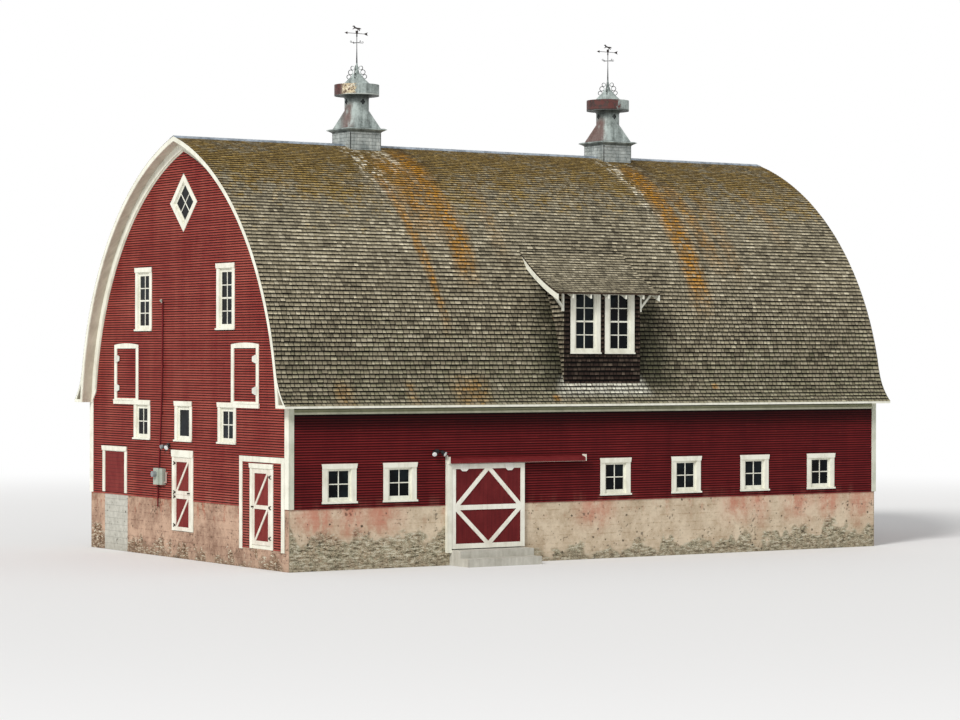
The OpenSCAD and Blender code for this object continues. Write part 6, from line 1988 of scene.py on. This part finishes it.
@dataclass
class Fittings:
    """The meter boxes, the conduit and the flood lights, with glass lenses in the lamps.

    Pairs are the lamps' wall, the pair's middle along it and its height. A lamp turns from upright by tip and
    then to its own hand by swing, about a joint that lies off the pair's middle by the arm."""

    lens_radius: float = 0.064
    lens_proud: float = 0.001
    lens_bulge: float = 0.012
    lamp_length: float = 0.130
    rings: int = 7
    spokes: int = 28
    swing: float = math.radians(25)
    tip: float = math.radians(115)
    arm: tuple[float, float, float] = (0.125, -0.090, -0.020)
    pairs: tuple[tuple[Side, float, float], ...] = ((Side.DOOR_GABLE, 5.200, 3.215),
                                                    (Side.FRONT, 4.635, 3.155))
    conduit_y: Span = (1.150, 1.600)
    conduit_foot: float = 2.536
    conduit_out: float = 0.080
    drain_head: float = 2.058
    loop_y: Span = (0.900, 1.098)
    loop_head: float = 2.600
    loop_out: float = -0.050
    lamps_y: Span = (0.600, 1.149)
    lamps_foot: float = 2.950
    front_lamps: float = -6.000
    meter_out: float = 0.1515

    def lens(self, side: Side, place: float, z: float, hand: int) -> tuple[np.ndarray, np.ndarray]:
        """One lens: a shallow dome, whose height falls with the square of the distance from its middle.

        Args:
            side: the wall.
            place: the pair's middle along the wall.
            z: the pair's height.
            hand: -1 for the left lamp and 1 for the right.

        Returns:
            The points and the quads.
        """
        radii, turns = np.meshgrid(np.linspace(0.0, 1.0, self.rings),
                                   np.linspace(0, 2 * math.pi, self.spokes + 1)[:-1], indexing="ij")
        dome = np.stack([radii * np.cos(turns) * self.lens_radius, radii * np.sin(turns) * self.lens_radius,
                         self.lamp_length + self.lens_proud + self.lens_bulge * (1 - radii ** 2)], -1)
        turn = Matrix.Rotation(hand * self.swing, 3, "Z") @ Matrix.Rotation(self.tip, 3, "X")
        joint = np.array([place + hand * self.arm[0], self.arm[1], z + self.arm[2]])
        dome = dome.reshape(-1, 3) @ np.array(turn).T + joint
        index = np.arange(self.rings * self.spokes).reshape(self.rings, self.spokes)
        after = np.roll(index, -1, axis=1)
        quads = np.stack([index[:-1], index[1:], after[1:], after[:-1]], -1).reshape(-1, 4)
        return side.value.place(dome), quads

    def build(self) -> None:
        """Builds the four lamps' lenses."""
        glass = Coat(srgb(226, 228, 226), srgb(196, 200, 198), 0.3, 0.12)
        batch = Batch()
        for side, place, z in self.pairs:
            for hand in (-1, 1):
                batch.add(*self.lens(side, place, z, hand))
        batch.build("flood_light_lenses", painted("lamp_lens_glass", glass, specular=0.6, depth=0.0005),
                    "grey_metal", smooth=True)

    def dress(self) -> None:
        """Finishes the boxes, the red conduit, the pale loop and the black lamps."""
        cabinet = Coat(srgb(176, 184, 172), srgb(134, 138, 124), 0.3, 0.5, 0.1)
        conduit = red_paint(0.25, where=lambda g: (
            g.x.above(-HALF_LENGTH - self.conduit_out) * g.z.above(self.conduit_foot)
            * g.y.within(*self.conduit_y)).larger(g.z.below(self.drain_head)))
        loop = Coat(srgb(206, 186, 176), srgb(160, 130, 118), 0.3, 0.6,
                    where=lambda g: (g.y.within(*self.loop_y) * g.z.below(self.loop_head)
                                     * before_gable(g, self.loop_out)))
        lamps = Coat(srgb(34, 34, 36), srgb(66, 64, 62), 0.2, 0.45,
                     where=lambda g: (g.z.above(self.lamps_foot) * g.y.within(*self.lamps_y)).larger(
                         g.y.below(self.front_lamps)))
        meter = Coat(srgb(150, 156, 158), srgb(96, 100, 102), 0.3, 0.18,
                     where=lambda g: before_gable(g, self.meter_out))
        coat_nodes(painted("fittings_paint", cabinet, conduit, loop, lamps, meter), "wall_fittings")


# Stage


@dataclass
class Stage:
    """The pale floor, the soft light and the camera at the photograph's angle."""

    position: tuple[float, float, float] = (-47.342, -72.076, 5.738)
    yaw: float = math.radians(33.19)
    pitch: float = math.radians(-0.05)
    roll: float = math.radians(0.11)
    lens: float = 106.4
    sensor: float = 36.0
    furthest: float = 2000.0
    to_light: tuple[float, float, float] = (-0.75, -0.38, 0.62)
    energy: float = 2.3
    spread: float = math.radians(14)
    warmth: Colour = (1.0, 0.985, 0.96)
    surround: float = 0.58
    floor_reach: float = 900.0
    floor_z: float = -0.002
    floor_fade: Span = (20.0, 60.0)

    def camera(self) -> None:
        """Sets the camera: it looks along the yaw and pitch, turned round that line by the roll."""
        data = bpy.data.cameras.new("view")
        data.lens, data.sensor_width, data.clip_end = self.lens, self.sensor, self.furthest
        flat = math.cos(self.pitch)
        forward = Vector((math.sin(self.yaw) * flat, math.cos(self.yaw) * flat, math.sin(self.pitch)))
        level = Vector((math.cos(self.yaw), -math.sin(self.yaw), 0.0))
        upright = level.cross(forward)
        right = math.cos(self.roll) * level + math.sin(self.roll) * upright
        up = -math.sin(self.roll) * level + math.cos(self.roll) * upright
        camera = add_object("view", data)
        camera.matrix_world = Matrix.Translation(self.position) @ Matrix(
            (right, up, -forward)).transposed().to_4x4()
        bpy.context.scene.camera = camera

    def light(self) -> None:
        """Sets a broad soft lamp from the left, and a surround that fills shadows and is seen as white."""
        lamp = bpy.data.lights.new("soft_key", "SUN")
        lamp.energy, lamp.angle, lamp.color = self.energy, self.spread, self.warmth
        key = add_object("soft_key", lamp)
        key.rotation_euler = Vector(self.to_light).to_track_quat("Z", "Y").to_euler()
        world = bpy.data.worlds.new("surround")
        bpy.context.scene.world = world
        g = Graph(world)
        strength = g.rays("Camera", "Glossy", "Transmission") * (1.0 - self.surround) + self.surround
        background = g.node("ShaderNodeBackground", {}, {"Color": (1.0, 1.0, 1.0), "Strength": strength})
        g.node("ShaderNodeOutputWorld", {}, {"Surface": background.outputs[0]})

    def floor(self) -> None:
        """Lays a pale floor that keeps the barn's shadow and fades to white far from it."""
        g = Graph("pale_floor")
        far = (g.x * g.x + g.y * g.y).smooth(*(reach ** 2 for reach in self.floor_fade))
        matt = g.node("ShaderNodeBsdfPrincipled", {}, {"Base Color": (0.80, 0.80, 0.80), "Roughness": 0.9,
                                                       "Specular IOR Level": 0.1})
        white = g.node("ShaderNodeEmission", {}, {"Color": (1.0, 1.0, 1.0), "Strength": 1.0})
        mixed = g.node("ShaderNodeMixShader", {}, {0: far * g.rays("Camera", "Glossy"), 1: matt.outputs[0],
                                                   2: white.outputs[0]})
        g.node("ShaderNodeOutputMaterial", {}, {"Surface": mixed.outputs[0]})
        mesh = bpy.data.meshes.new("floor")
        corners = [(x * self.floor_reach, y * self.floor_reach, self.floor_z)
                   for x, y in ((-1, -1), (1, -1), (1, 1), (-1, 1))]
        mesh.from_pydata(corners, [], [(0, 1, 2, 3)])
        mesh.materials.append(g.owner)
        floor = add_object("floor", mesh)

    def build(self) -> None:
        """Sets the camera, the light and the floor."""
        bpy.context.scene.view_settings.view_transform = "Standard"
        self.camera()
        self.light()
        self.floor()


def main() -> None:
    """Builds and dresses the barn, part by part."""
    logging.basicConfig(level=logging.INFO, format="%(message)s")
    Stage().build()
    siding, dormer, roof, foundation, glazing = Siding(), Dormer(), Roof(), Foundation(), Glazing()
    fittings = Fittings()
    siding.build()
    Walls().dress()
    roof.build()
    roof.dress()
    dormer.build()
    dormer.dress()
    glazing.build(siding, dormer)
    glazing.dress()
    foundation.build()
    foundation.dress()
    Doors().dress()
    Ventilators().dress()
    fittings.build()
    fittings.dress()


if __name__ == "__main__":
    main()
